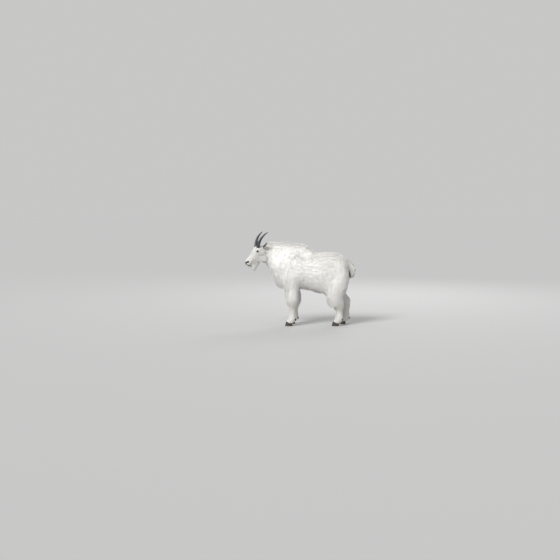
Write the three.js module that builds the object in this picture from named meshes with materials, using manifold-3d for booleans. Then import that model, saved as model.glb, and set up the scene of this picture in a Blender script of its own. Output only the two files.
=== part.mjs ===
// A standing mountain goat at life size, in millimetres.
// It faces -X with its head turned to its own left (-Y); +Z is up and the ground is z = 0.
// The solids are the true outline of the animal out to the tips of its long winter coat.
import * as THREE from "three";
import Module from "manifold-3d";

const wasm = await Module();
wasm.setup();

// Driving sizes
const gap = 0.3;
const headTurn = THREE.MathUtils.degToRad(24);
const neckPivotX = -430;
const legSpread = 100;
const frontStride = 32;
const hindStride = 90;
const crestHeight = 1026;
const frontHemHeight = 236;
const hindHemHeight = 237;
const frontLegTop = 440;
const frontLegRear = 45;
const hindLegTop = 380;
const hornLength = 236;
const hornBaseLong = 44;
const hornBaseWide = 38;
const hornLeanBase = THREE.MathUtils.degToRad(-2);
const hornLeanTip = THREE.MathUtils.degToRad(62);
const earLength = 134;
const earWidth = 50;
const eyeRadius = 15.5;
const toeLengthFront = 88;
const toeLengthHind = 86;
const toeWidth = 33;
const toeSpacing = 17.8;
const coronetFrontHeight = 53;
const coronetHeelHeight = 27;
const dewclawLength = 30;

// Colours of the materials
const coatWhite = new THREE.MeshStandardMaterial({ color: 0xf4f2ec, roughness: 0.85, metalness: 0 });
const hornBlack = new THREE.MeshStandardMaterial({ color: 0x3b4046, roughness: 0.45, metalness: 0 });
const hoofDark = new THREE.MeshStandardMaterial({ color: 0x34322f, roughness: 0.55, metalness: 0 });
const eyeDark = new THREE.MeshStandardMaterial({ color: 0x14110f, roughness: 0.12, metalness: 0 });

// Masses of the coat: each is a round cone from one ball to another, flattened across the body.
const masses = [];

function mass(group, from, to, fromRadius, toRadius, flat, hem = null) {
  const run = [to[0] - from[0], (to[1] - from[1]) / flat, to[2] - from[2]];
  const runSquared = run[0] ** 2 + run[1] ** 2 + run[2] ** 2;
  masses.push({ group, from, run, runSquared, fromRadius, toRadius, flat, hem });
}

function pairOfMasses(group, from, to, fromRadius, toRadius, flat) {
  for (const side of [-1, 1]) {
    const a = [from[0], from[1] * side, from[2]];
    const b = [to[0], to[1] * side, to[2]];
    mass(group, a, b, fromRadius, toRadius, flat);
  }
}

// Barrel, hump and rump
const crestRadius = 158;
mass("body", [-130, 0, 665], [70, 0, 655], 205, 196, 0.86);
mass("body", [70, 0, 655], [260, 0, 640], 196, 232, 0.84);
mass("body", [260, 0, 640], [378, 0, 672], 232, 190, 0.84);
mass("body", [378, 0, 682], [452, 0, 702], 188, 100, 0.84);
mass("body", [436, 0, 770], [540, 0, 750], 110, 54, 0.9);
mass("body", [552, 0, 700], [586, 0, 606], 30, 20, 0.8);
mass("body", [-318, 0, crestHeight - 152], [-130, 0, crestHeight - 183], 148, crestRadius, 0.52);
mass("body", [-118, 0, crestHeight - 178], [20, 0, 864], crestRadius, 108, 0.55);
mass("body", [20, 0, 864], [72, 0, 818], 108, 82, 0.62);
mass("body", [-215, 0, 775], [-402, 0, 884], 185, 99, 0.66);
mass("body", [-236, 0, 655], [-230, 0, 548], 92, 90, 1.05);
pairOfMasses("body", [-85, 92, 800], [-120, 105, 560], 85, 108, 0.72);
pairOfMasses("body", [420, 88, 690], [405, 105, 480], 126, 132, 0.62);
pairOfMasses("body", [508, 76, 568], [474, 92, 478], 78, 88, 0.78);

// Legs, with the wide furred breeches that end in a hem above the cannons
for (const side of [-1, 1]) {
  const y = side * legSpread;
  const f = side > 0 ? frontStride : 0;
  const h = side > 0 ? hindStride : 0;
  const frontHem = (x) => frontHemHeight - 0.12 * (x + 100);
  const hindHem = (x) => hindHemHeight - 0.306 * (x - 347 - h);
  mass("breeches", [-118 + f * 0.3, y, 560], [-103 + f, y * 0.98, 300], 95, 86, 0.8, frontHem);
  mass("shank", [-105 + f, y, 320], [-100 + f, y, 235], 51, 41, 0.85);
  mass("shank", [-100 + f, y, 235], [-100 + f, y, 110], 37, 34, 0.85);
  mass("shank", [-99 + f, y, 100], [-104 + f, y, 78], 35, 37, 0.9);
  mass("shank", [-104 + f, y, 78], [-134 + f, y, 46], 36, 38, 0.95);
  mass("breeches", [405 + h * 0.35, y * 1.03, 480], [408 + h * 0.55, y, 310], 112, 92, 0.74, hindHem);
  mass("breeches", [408 + h * 0.55, y, 310], [432 + h * 0.8, y, 240], 92, 80, 0.76, hindHem);
  mass("shank", [412 + h * 0.5, y, 420], [476 + h, y, 292], 60, 42, 0.8);
  mass("shank", [476 + h, y, 292], [472 + h, y, 235], 45, 43, 0.8);
  mass("shank", [472 + h, y, 235], [470 + h, y, 110], 42, 38, 0.82);
  mass("shank", [470 + h, y, 100], [466 + h, y, 78], 38, 39, 0.9);
  mass("shank", [466 + h, y, 78], [434 + h, y, 46], 37, 38, 0.95);
}

// Tail
mass("tail", [562, 0, 768], [628, 0, 688], 46, 43, 0.85);
mass("tail", [628, 0, 688], [630, 0, 602], 43, 22, 0.8);

// Head, laid out straight ahead and turned afterwards
mass("head", [-478, 0, 922], [-525, 0, 914], 50, 49, 1);
mass("head", [-538, 0, 902], [-650, 0, 785], 42, 24, 0.86);
pairOfMasses("head", [-566, 15, 852], [-640, 9, 780], 29, 15, 0.9);
mass("head", [-648, 0, 776], [-662, 0, 757], 27, 23, 1.05);
mass("head", [-490, 0, 838], [-632, 0, 730], 40, 15, 0.9);
pairOfMasses("head", [-474, 34, 822], [-545, 24, 818], 50, 28, 0.6);
pairOfMasses("head", [-492, 45, 884], [-562, 34, 880], 18, 15, 1);
pairOfMasses("head", [-548, 39, 925], [-526, 44, 922], 16, 16, 1);
mass("head", [-462, 0, 868], [-405, 0, 868], 46, 66, 0.8);
mass("head", [-462, 0, 918], [-400, 0, 915], 46, 74, 0.8);
mass("head", [-575, 0, 742], [-573, 0, 674], 44, 18, 0.55);

// How softly the masses of one group melt together, and the groups with each other
const softness = { body: 26, breeches: 8, shank: 8, tail: 10, head: 14 };
const groupSoftness = 12;

function distanceToMass(m, x, y, z) {
  const px = x - m.from[0];
  const py = (y - m.from[1]) / m.flat;
  const pz = z - m.from[2];
  const along = (px * m.run[0] + py * m.run[1] + pz * m.run[2]) / m.runSquared;
  const t = Math.min(1, Math.max(0, along));
  const away = Math.hypot(px - t * m.run[0], py - t * m.run[1], pz - t * m.run[2]);
  const distance = (away - m.fromRadius - (m.toRadius - m.fromRadius) * t) * (0.5 + 0.5 * m.flat);
  return m.hem ? Math.max(distance, (m.hem(x) - z) * 0.9) : distance;
}

function softUnion(distances, soft) {
  const nearest = Math.min(...distances);
  let sum = 0;
  for (const d of distances) sum += Math.exp((nearest - d) / soft);
  return nearest - soft * Math.log(sum);
}

function straightHead(x, y) {
  const dx = x - neckPivotX;
  const c = Math.cos(headTurn);
  const s = Math.sin(headTurn);
  return [neckPivotX + dx * c + y * s, y * c - dx * s];
}

// Signed distance to the whole coat, negative inside it
function coatOf(groups) {
  const kept = masses.filter((m) => groups.includes(m.group));
  return (x, y, z) => {
    const [hx, hy] = straightHead(x, y);
    const found = {};
    for (const m of kept) {
      const d = m.group === "head" ? distanceToMass(m, hx, hy, z) : distanceToMass(m, x, y, z);
      (found[m.group] ??= []).push(d);
    }
    const joined = Object.entries(found).map(([group, list]) => softUnion(list, softness[group]));
    return softUnion(joined, groupSoftness);
  };
}

// Closed surface of a field inside a box, as quads of a grid whose corners are moved onto the surface
function surfaceOf(field, low, high, cell) {
  const count = [0, 1, 2].map((a) => Math.ceil((high[a] - low[a]) / cell[a]) + 1);
  const at = (a, i) => low[a] + ((high[a] - low[a]) * i) / (count[a] - 1);
  const closed = (x, y, z) => {
    const p = [x, y, z];
    let wall = -Infinity;
    for (let a = 0; a < 3; a += 1) {
      const inset = cell[a] * 0.6;
      wall = Math.max(wall, low[a] + inset - p[a], p[a] - high[a] + inset);
    }
    return Math.max(field(x, y, z), wall);
  };
  const [nx, ny, nz] = count;
  const values = new Float64Array(nx * ny * nz);
  const place = (i, j, k) => (i * ny + j) * nz + k;
  for (let i = 0; i < nx; i += 1) {
    for (let j = 0; j < ny; j += 1) {
      for (let k = 0; k < nz; k += 1) values[place(i, j, k)] = closed(at(0, i), at(1, j), at(2, k));
    }
  }
  const corners = [];
  for (let c = 0; c < 8; c += 1) corners.push([c & 1, (c >> 1) & 1, (c >> 2) & 1]);
  const numberOf = new Int32Array(nx * ny * nz).fill(-1);
  const points = [];
  for (let i = 0; i < nx - 1; i += 1) {
    for (let j = 0; j < ny - 1; j += 1) {
      for (let k = 0; k < nz - 1; k += 1) {
        const mean = [0, 0, 0];
        let crossings = 0;
        for (let c = 0; c < 8; c += 1) {
          for (let a = 0; a < 3; a += 1) {
            if (corners[c][a]) continue;
            const d = c | (1 << a);
            const [ci, cj, ck] = corners[c];
            const [di, dj, dk] = corners[d];
            const fc = values[place(i + ci, j + cj, k + ck)];
            const fd = values[place(i + di, j + dj, k + dk)];
            if (fc < 0 === fd < 0) continue;
            const t = fc / (fc - fd);
            mean[0] += at(0, i + ci + t * (di - ci));
            mean[1] += at(1, j + cj + t * (dj - cj));
            mean[2] += at(2, k + ck + t * (dk - ck));
            crossings += 1;
          }
        }
        if (crossings === 0) continue;
        numberOf[place(i, j, k)] = points.length;
        points.push(mean.map((v) => v / crossings));
      }
    }
  }
  for (const p of points) moveOnto(closed, p, Math.min(...cell) * 0.5);
  const triangles = [];
  const quad = (a, b, c, d, turned) => {
    const q = turned ? [d, c, b, a] : [a, b, c, d];
    triangles.push([q[0], q[1], q[2]], [q[0], q[2], q[3]]);
  };
  for (let i = 0; i < nx - 1; i += 1) {
    for (let j = 0; j < ny - 1; j += 1) {
      for (let k = 0; k < nz - 1; k += 1) {
        const here = values[place(i, j, k)] < 0;
        for (let a = 0; a < 3; a += 1) {
          const next = [i, j, k];
          next[a] += 1;
          if (here === values[place(...next)] < 0) continue;
          const b = (a + 1) % 3;
          const c = (a + 2) % 3;
          const cellAt = (db, dc) => {
            const q = [i, j, k];
            q[b] -= db;
            q[c] -= dc;
            return numberOf[place(...q)];
          };
          quad(cellAt(1, 1), cellAt(0, 1), cellAt(0, 0), cellAt(1, 0), !here);
        }
      }
    }
  }
  return { points, triangles };
}

function slopeOf(field, [x, y, z]) {
  const e = 0.5;
  return [
    (field(x + e, y, z) - field(x - e, y, z)) / (2 * e),
    (field(x, y + e, z) - field(x, y - e, z)) / (2 * e),
    (field(x, y, z + e) - field(x, y, z - e)) / (2 * e),
  ];
}

function movedOut(field, p, amount) {
  return shifted(p, slopeOf(field, p), amount);
}

// Newton steps along the slope of the field, never further than a given reach
function moveOnto(field, p, reach) {
  const start = [...p];
  for (let step = 0; step < 4; step += 1) {
    const here = field(...p);
    const slope = slopeOf(field, p);
    const steepness = slope[0] ** 2 + slope[1] ** 2 + slope[2] ** 2;
    if (steepness < 1e-6) return;
    for (let a = 0; a < 3; a += 1) {
      const moved = p[a] - (here * slope[a]) / steepness;
      p[a] = Math.min(start[a] + reach, Math.max(start[a] - reach, moved));
    }
  }
}

// Solids for joining and cutting
function solidFrom({ points, triangles }) {
  const vertProperties = new Float32Array(points.flat());
  const triVerts = new Uint32Array(triangles.flat());
  return new wasm.Manifold(new wasm.Mesh({ numProp: 3, vertProperties, triVerts }));
}

function meshDataOf(geometry) {
  const position = geometry.getAttribute("position");
  const index = geometry.index;
  const seen = new Map();
  const points = [];
  const number = [];
  for (let i = 0; i < position.count; i += 1) {
    const p = [position.getX(i), position.getY(i), position.getZ(i)];
    const key = p.map((v) => Math.round(v * 1000)).join(" ");
    if (!seen.has(key)) {
      seen.set(key, points.length);
      points.push(p);
    }
    number.push(seen.get(key));
  }
  const triangles = [];
  for (let i = 0; i < index.count; i += 3) {
    const t = [0, 1, 2].map((n) => number[index.getX(i + n)]);
    if (new Set(t).size === 3) triangles.push(t);
  }
  return { points, triangles };
}

function placed(data, matrix) {
  const points = data.points.map((p) => new THREE.Vector3(...p).applyMatrix4(matrix).toArray());
  return { points, triangles: data.triangles };
}

function shifted(point, direction, amount) {
  const unit = new THREE.Vector3(...direction).normalize();
  return new THREE.Vector3(...point).addScaledVector(unit, amount).toArray();
}

// A big block whose one face lies on a plane; the block is on the side that the direction points to
const blockSize = 3000;

function blockBeyond(point, direction) {
  const block = meshDataOf(new THREE.BoxGeometry(blockSize, blockSize, blockSize));
  const forward = new THREE.Vector3(...direction).normalize();
  const turn = new THREE.Quaternion().setFromUnitVectors(new THREE.Vector3(0, 0, 1), forward);
  const middle = new THREE.Vector3(...shifted(point, direction, blockSize / 2));
  return solidFrom(placed(block, new THREE.Matrix4().compose(middle, turn, new THREE.Vector3(1, 1, 1))));
}

function boxBetween(low, high) {
  const size = [0, 1, 2].map((a) => high[a] - low[a]);
  const middle = [0, 1, 2].map((a) => (high[a] + low[a]) / 2);
  const box = meshDataOf(new THREE.BoxGeometry(...size));
  return solidFrom(placed(box, new THREE.Matrix4().makeTranslation(...middle)));
}

function keep(solid, point, direction) {
  return solid.intersect(blockBeyond(shifted(point, direction, gap / 2), direction));
}

// Rings of points joined to a closed skin, each ring with the same count, first and last ones capped
function loftOf(rings) {
  const around = rings[0].length;
  const points = rings.flat();
  const triangles = [];
  for (let r = 0; r < rings.length - 1; r += 1) {
    for (let i = 0; i < around; i += 1) {
      const a = r * around + i;
      const b = r * around + ((i + 1) % around);
      triangles.push([a, b, b + around], [a, b + around, a + around]);
    }
  }
  const first = points.length;
  for (const r of [0, rings.length - 1]) {
    const middle = [0, 1, 2].map((n) => rings[r].reduce((sum, p) => sum + p[n], 0) / around);
    points.push(middle);
  }
  const last = (rings.length - 1) * around;
  for (let i = 0; i < around; i += 1) {
    const next = (i + 1) % around;
    triangles.push([first, next, i], [first + 1, last + i, last + next]);
  }
  return { points, triangles };
}

function turnedHead(x, y, z) {
  const dx = x - neckPivotX;
  const c = Math.cos(headTurn);
  const s = Math.sin(headTurn);
  return [neckPivotX + dx * c - y * s, dx * s + y * c, z];
}

// Horn: a slender backward arc with low growth rings near its base
const hornRoot = [-537, 31, 944];
const hornSpread = 60;

function horn(side, grow) {
  const steps = 15;
  const around = 10;
  const rings = [];
  let x = hornRoot[0];
  let z = hornRoot[2];
  for (let n = 0; n <= steps; n += 1) {
    const t = n / steps;
    const lean = hornLeanBase + (hornLeanTip - hornLeanBase) * t;
    const y = side * (hornRoot[1] + hornSpread * t);
    const ringRelief = t < 0.5 && n % 2 === 1 ? 0.9 : 0;
    const taper = (1 - t) ** 0.66 + 0.03;
    const long = (hornBaseLong / 2) * taper + ringRelief + grow;
    const wide = (hornBaseWide / 2) * taper + ringRelief + grow;
    const ring = [];
    for (let i = 0; i < around; i += 1) {
      const turn = (2 * Math.PI * i) / around;
      const u = Math.cos(turn) * long;
      const v = Math.sin(turn) * wide;
      ring.push(turnedHead(x + u * Math.cos(lean), y + v, z - u * Math.sin(lean)));
    }
    rings.push(ring);
    x += Math.sin(lean) * (hornLength / steps);
    z += Math.cos(lean) * (hornLength / steps);
  }
  return loftOf(rings);
}

// Ear: a pointed leaf, hollow on its front side, standing out and up
const earRoot = [-484, 42, 941];
const earDirection = new THREE.Vector3(0.12, 0.82, 0.56).normalize();

function ear(side, grow) {
  const steps = 7;
  const around = 10;
  const rings = [];
  const out = new THREE.Vector3(earDirection.x, earDirection.y * side, earDirection.z);
  const forward = new THREE.Vector3(-1, 0, 0);
  const opening = forward.clone().addScaledVector(out, -forward.dot(out)).normalize();
  const across = new THREE.Vector3().crossVectors(opening, out);
  const root = new THREE.Vector3(earRoot[0], earRoot[1] * side, earRoot[2]);
  for (let n = 0; n <= steps; n += 1) {
    const t = n / steps;
    const leaf = Math.sin(Math.PI * (0.2 + 0.8 * t)) ** 0.8 * (1 - 0.25 * t) + 0.04;
    const half = (earWidth / 2) * leaf + grow;
    const thick = 8 * leaf + 1.5 + grow;
    const bow = 9 * Math.sin(Math.PI * t);
    const ring = [];
    for (let i = 0; i < around; i += 1) {
      const turn = (2 * Math.PI * i) / around;
      const u = Math.cos(turn) * half;
      const hollow = -0.28 * half * (1 - Math.cos(turn) ** 2) * (Math.sin(turn) > 0 ? 1 : 0.3);
      const v = Math.sin(turn) * thick + hollow - bow;
      const p = root.clone().addScaledVector(out, t * earLength + grow * (2 * t - 1));
      p.addScaledVector(across, u).addScaledVector(opening, v);
      ring.push(turnedHead(...p.toArray()));
    }
    rings.push(ring);
  }
  return loftOf(rings);
}

// Eye: a ball set under the brow, with the lids' edge standing round it
const eyeCentre = [-551, 50, 905];

function eye(side, grow) {
  const ball = meshDataOf(new THREE.SphereGeometry(eyeRadius + grow, 12, 8));
  const middle = turnedHead(eyeCentre[0], eyeCentre[1] * side, eyeCentre[2]);
  return placed(ball, new THREE.Matrix4().makeTranslation(...middle));
}

// Toe: half of a cloven hoof with a flat sole at z = 0, below the sloping plane of the coronet
const coronetInset = 14;

function coronetHeight(x, toeFront, length) {
  const slope = (coronetHeelHeight - coronetFrontHeight) / length;
  return coronetFrontHeight + slope * (x - toeFront - coronetInset);
}

function toe(centreX, centreY, length, towardsMiddle) {
  const around = 12;
  const levels = 2;
  const rings = [];
  for (let n = 0; n <= levels; n += 1) {
    const t = n / levels;
    const long = (length / 2) * (1 - 0.2 * t ** 0.9);
    const wide = (toeWidth / 2) * (1 - 0.1 * t);
    const middle = centreX + 7 * t;
    const ring = [];
    for (let i = 0; i < around; i += 1) {
      const turn = (-2 * Math.PI * i) / around;
      const x = middle - long * Math.cos(turn);
      const across = wide * Math.sin(turn) * (1 - 0.24 * Math.cos(turn));
      const y = centreY + (across * towardsMiddle > 0 ? across * 0.92 : across);
      ring.push([x, y, t * (coronetHeight(x, centreX - length / 2, length) - gap / 2)]);
    }
    rings.push(ring);
  }
  return loftOf(rings);
}

// Dewclaw: a small blunt claw behind the fetlock, pointing down and back
function dewclaw(x, y, z, grow) {
  const around = 6;
  const rings = [];
  const direction = new THREE.Vector3(0.62, 0, -0.78);
  const side = new THREE.Vector3(0, 1, 0);
  const back = new THREE.Vector3().crossVectors(direction, side);
  for (const [t, radius] of [[0, 8], [0.4, 9.5], [0.78, 7.5], [1, 3.2]]) {
    const ring = [];
    for (let i = 0; i < around; i += 1) {
      const turn = (2 * Math.PI * i) / around;
      const p = new THREE.Vector3(x, y, z);
      p.addScaledVector(direction, t * dewclawLength + grow * (2 * t - 1));
      p.addScaledVector(side, Math.cos(turn) * (radius + grow));
      p.addScaledVector(back, Math.sin(turn) * (radius * 0.85 + grow));
      ring.push(p.toArray());
    }
    rings.push(ring);
  }
  return loftOf(rings);
}

// The finished pieces
const goat = new THREE.Group();

function addPiece(name, solid, material, at = [0, 0, 0]) {
  const { vertProperties, triVerts, numProp } = solid.getMesh();
  const positions = new Float32Array((vertProperties.length / numProp) * 3);
  for (let i = 0; i < positions.length / 3; i += 1) {
    for (let a = 0; a < 3; a += 1) positions[i * 3 + a] = vertProperties[i * numProp + a] - at[a];
  }
  const geometry = new THREE.BufferGeometry();
  geometry.setAttribute("position", new THREE.BufferAttribute(positions, 3));
  geometry.setIndex(new THREE.BufferAttribute(new Uint32Array(triVerts), 1));
  geometry.computeVertexNormals();
  const mesh = new THREE.Mesh(geometry, material);
  mesh.name = name;
  mesh.position.set(...at);
  goat.add(mesh);
}

const sides = [["left", -1], ["right", 1]];
const wholeCoat = coatOf(["body", "breeches", "shank", "head"]);

// Trunk with the tops of the breeches, and the neck in front of a slanting cut
const neckCut = [-262, 0, 800];
const neckForward = [-0.87, 0, 0.5];
const headCut = turnedHead(-447, 0, 880);
const headForward = [-Math.cos(headTurn), -Math.sin(headTurn), 0];
const opposite = (direction) => direction.map((v) => -v);
const torsoSkin = surfaceOf(wholeCoat, [-450, -252, 300], [690, 252, 1100], [62, 46, 54]);
const neckSkin = surfaceOf(wholeCoat, [-500, -216, 600], [-90, 216, 1080], [40, 36, 40]);
const belowFront = boxBetween([-700, -400, 100], [frontLegRear, 400, frontLegTop + gap / 2]);
const belowHind = boxBetween([frontLegRear - 1, -400, 100], [900, 400, hindLegTop + gap / 2]);
const uncutTrunk = keep(solidFrom(torsoSkin), neckCut, opposite(neckForward));
const trunk = uncutTrunk.subtract(belowFront).subtract(belowHind);
const neck = keep(keep(solidFrom(neckSkin), neckCut, neckForward), headCut, opposite(headForward));
addPiece("trunk", trunk, coatWhite, [0, 0, 650]);
addPiece("neck", neck, coatWhite, [-330, 0, 830]);

// Tail, laid against the rump
const tailSkin = surfaceOf(coatOf(["tail"]), [490, -66, 540], [700, 66, 850], [22, 19, 24]);
const rumpPoints = torsoSkin.points.map((p) => movedOut(wholeCoat, p, gap));
const rumpRoom = solidFrom({ points: rumpPoints, triangles: torsoSkin.triangles });
addPiece("tail", solidFrom(tailSkin).subtract(rumpRoom), coatWhite, [618, 0, 690]);

// Head with sockets for the horns, ears and eyes, and the beard below a cut under the chin
const headSkin = surfaceOf(wholeCoat, [-740, -190, 640], [-380, 110, 1050], [20, 19, 21]);
const beardTop = turnedHead(-640, 0, 712);
const beardDown = [0.305 * Math.cos(headTurn), 0.305 * Math.sin(headTurn), -0.952];
const beardBack = turnedHead(-508, 0, 740);
const beardSpace = (inset) => {
  const below = blockBeyond(shifted(beardTop, beardDown, inset), beardDown);
  return below.intersect(blockBeyond(shifted(beardBack, headForward, inset), headForward));
};
let head = keep(solidFrom(headSkin), headCut, headForward).subtract(beardSpace(-gap / 2));
const beard = solidFrom(headSkin).intersect(beardSpace(gap / 2));
for (const [, side] of sides) {
  for (const set of [horn, ear, eye]) head = head.subtract(solidFrom(set(side, gap)));
}
addPiece("head", head, coatWhite, turnedHead(-540, 0, 880));
addPiece("beard", beard, coatWhite, turnedHead(-574, 0, 710));
const onHead = ([x, y, z], side) => turnedHead(x, y * side, z);
for (const [name, side] of sides) {
  addPiece(`horn_${name}`, solidFrom(horn(side, 0)), hornBlack, onHead(hornRoot, side));
  addPiece(`ear_${name}`, solidFrom(ear(side, 0)), coatWhite, onHead(earRoot, side));
  addPiece(`eye_${name}`, solidFrom(eye(side, 0)), eyeDark, onHead(eyeCentre, side));
}

// Legs from the breeches down to the coronets, with two toes and two dewclaws on each
const frontEnd = { name: "front", top: frontLegTop, stride: frontStride, length: toeLengthFront };
const hindEnd = { name: "hind", top: hindLegTop, stride: hindStride, length: toeLengthHind };
const ends = [
  { ...frontEnd, toeX: -145, claw: [-74, 88], low: -240, high: [56, 56] },
  { ...hindEnd, toeX: 421, claw: [498, 90], low: 250, high: [580, 670] },
];
for (const end of ends) {
  for (const [name, side] of sides) {
    const shift = side > 0 ? end.stride : 0;
    const yLow = side > 0 ? 2 : -218;
    const low = [end.low, yLow, -30];
    const high = [end.high[side > 0 ? 1 : 0], yLow + 216, end.top + 60];
    let leg = solidFrom(surfaceOf(wholeCoat, low, high, [28, 25, 43]));
    const toeX = end.toeX + shift;
    const toeFront = toeX - end.length / 2;
    const slope = (coronetHeelHeight - coronetFrontHeight) / end.length;
    leg = keep(leg, [toeFront + coronetInset, 0, coronetFrontHeight], [-slope, 0, 1]);
    leg = keep(leg, [0, 0, end.top], [0, 0, -1]);
    const footY = side * legSpread;
    for (const [place, outward] of [["outer", side], ["inner", -side]]) {
      const clawY = footY + outward * 17;
      const [clawX, clawZ] = [end.claw[0] + shift, end.claw[1]];
      leg = leg.subtract(solidFrom(dewclaw(clawX, clawY, clawZ, gap)));
      const claw = solidFrom(dewclaw(clawX, clawY, clawZ, 0));
      addPiece(`dewclaw_${end.name}_${name}_${place}`, claw, hoofDark, [clawX, clawY, clawZ]);
      const toeY = footY + outward * toeSpacing;
      const hoof = solidFrom(toe(toeX, toeY, end.length, -outward));
      addPiece(`hoof_${end.name}_${name}_${place}`, hoof, hoofDark, [toeX, toeY, 0]);
    }
    addPiece(`leg_${end.name}_${name}`, leg, coatWhite, [toeX, footY, end.top]);
  }
}

export default goat;
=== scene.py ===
# %% [markdown]
# # A mountain goat in its winter coat
# This notebook dresses a life-size mountain goat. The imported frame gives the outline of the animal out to
# the tips of its coat. From that outline we make one continuous skin that lies under the coat, and then
# grow the coat on it as more than a hundred thousand small solid locks of hair that reach back out to it.

# %% Load the frame
import math

import bmesh
import bpy
import numpy as np
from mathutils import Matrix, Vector, kdtree


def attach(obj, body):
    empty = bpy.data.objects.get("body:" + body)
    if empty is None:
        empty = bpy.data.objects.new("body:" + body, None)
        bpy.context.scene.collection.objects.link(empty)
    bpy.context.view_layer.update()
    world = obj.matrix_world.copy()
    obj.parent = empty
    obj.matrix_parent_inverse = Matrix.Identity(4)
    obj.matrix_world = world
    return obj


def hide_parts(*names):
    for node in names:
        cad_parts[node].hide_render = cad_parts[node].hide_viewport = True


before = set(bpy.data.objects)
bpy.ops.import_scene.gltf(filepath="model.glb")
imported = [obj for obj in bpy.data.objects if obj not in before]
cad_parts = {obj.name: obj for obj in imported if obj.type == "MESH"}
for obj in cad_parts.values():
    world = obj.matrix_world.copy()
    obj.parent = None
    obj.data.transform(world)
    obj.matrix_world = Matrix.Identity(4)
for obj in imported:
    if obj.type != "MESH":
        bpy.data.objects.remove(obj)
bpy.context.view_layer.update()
chance = np.random.default_rng(11)

# %% [markdown]
# ## Small helpers
# Colours are written as they are seen on a screen, in sRGB hex, and Blender's shaders want linear light,
# so one function turns one into the other. `fill` sets the inputs of a node: one that is given as a socket
# is linked, and any other one is set to its value. Every node of a material or of a geometry tree is added
# by `add`. It sets the node's properties, its inputs and the stops of a colour ramp, and hands back the
# output that the next node wants.

# %% Helpers for colours and nodes
def colour(hex_text):
    parts = [int(hex_text[i:i + 2], 16) / 255 for i in (1, 3, 5)]
    linear = [c / 12.92 if c <= 0.04045 else ((c + 0.055) / 1.055) ** 2.4 for c in parts]
    return (*linear, 1.0)


def fill(tree, node, inputs):
    for key, value in (inputs if isinstance(inputs, dict) else dict(enumerate(inputs))).items():
        if isinstance(value, bpy.types.NodeSocket):
            tree.links.new(value, node.inputs[key])
        else:
            node.inputs[key].default_value = value


def add(tree, kind, inputs=(), out=0, stops=(), **settings):
    node = tree.nodes.new(kind)
    for name, value in settings.items():
        setattr(node, name, value)
    fill(tree, node, inputs)
    for k, (position, shade) in enumerate(stops):
        elements = node.color_ramp.elements
        element = elements[k] if k < len(elements) else elements.new(position)
        element.position, element.color = position, shade
    return node.outputs if out is None else node.outputs[out]


MATHS, VECTOR, MIX, RAMP = "ShaderNodeMath", "ShaderNodeVectorMath", "ShaderNodeMix", "ShaderNodeValToRGB"
NOISE, MARK, BUMP = "ShaderNodeTexNoise", "ShaderNodeAttribute", "ShaderNodeBump"

# %% [markdown]
# ## The masses of the body
# A goat in winter is a sum of rounded masses: barrel, hump, rump, thighs, breeches of long hair, slender
# shanks. Each mass here is a round cone between two balls, flattened across the body. It could be sculpted
# by hand, but a list of masses keeps skin and coat in step: the same list gives the outline of the coat,
# and, with each mass made thinner by the depth of its hair, the skin. Each mass also says how long its
# hair is and which way the hair lies. Sizes are in millimetres, as the frame was drawn.

# %% Sizes of the animal
HEAD_TURN = math.radians(24)
NECK_PIVOT = np.array([-430.0, 0.0, 0.0])
LEG_SPREAD = 100.0
FRONT_STRIDE = 32.0
HIND_STRIDE = 90.0
EYE_CENTRE = np.array([-551.0, 50.0, 905.0])
EYE_RADIUS = 15.5
masses = []


def mass(group, start, end, r0, r1, flat, coat, hair, lie, hem=None, flesh=True):
    start, end, lie = (np.array(v, float) for v in (start, end, lie))
    masses.append(dict(group=group, start=start, end=end, r0=r0, r1=r1, flat=flat, coat=coat, hair=hair,
                       lie=lie, hem=hem, flesh=flesh))


def pair(group, start, end, *rest):
    for side in (-1, 1):
        mass(group, (start[0], start[1] * side, start[2]), (end[0], end[1] * side, end[2]), *rest)


# %% Barrel, hump, neck and rump
mass("body", (-130, 0, 665), (70, 0, 655), 205, 196, 0.86, 38, 95, (0.75, 0, -0.7))
mass("body", (70, 0, 655), (260, 0, 640), 196, 232, 0.84, 34, 90, (0.8, 0, -0.6))
mass("body", (260, 0, 640), (378, 0, 672), 232, 190, 0.84, 34, 90, (0.8, 0, -0.6))
mass("body", (378, 0, 682), (452, 0, 702), 188, 100, 0.84, 36, 95, (0.55, 0, -0.85))
mass("body", (436, 0, 770), (540, 0, 750), 110, 54, 0.9, 34, 85, (0.75, 0, -0.65))
mass("body", (552, 0, 700), (586, 0, 606), 30, 20, 0.8, 5, 14, (0.2, 0, -1))
mass("body", (-318, 0, 874), (-130, 0, 843), 148, 158, 0.52, 60, 100, (0.75, 0, -0.6))
mass("body", (-118, 0, 848), (20, 0, 864), 158, 108, 0.55, 60, 100, (0.75, 0, -0.6))
mass("body", (20, 0, 864), (72, 0, 818), 108, 82, 0.62, 48, 95, (0.8, 0, -0.55))
mass("body", (-215, 0, 775), (-402, 0, 884), 185, 99, 0.66, 44, 95, (0.6, 0, -0.8))
mass("body", (-236, 0, 655), (-230, 0, 548), 92, 90, 1.05, 46, 115, (0.3, 0, -1))
pair("body", (-85, 92, 800), (-120, 105, 560), 85, 108, 0.72, 40, 95, (0.45, 0, -0.9))
pair("body", (420, 88, 690), (405, 105, 480), 126, 132, 0.62, 40, 105, (0.35, 0, -0.95))
pair("body", (508, 76, 568), (474, 92, 478), 78, 88, 0.78, 36, 95, (0.25, 0, -1))

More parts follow.
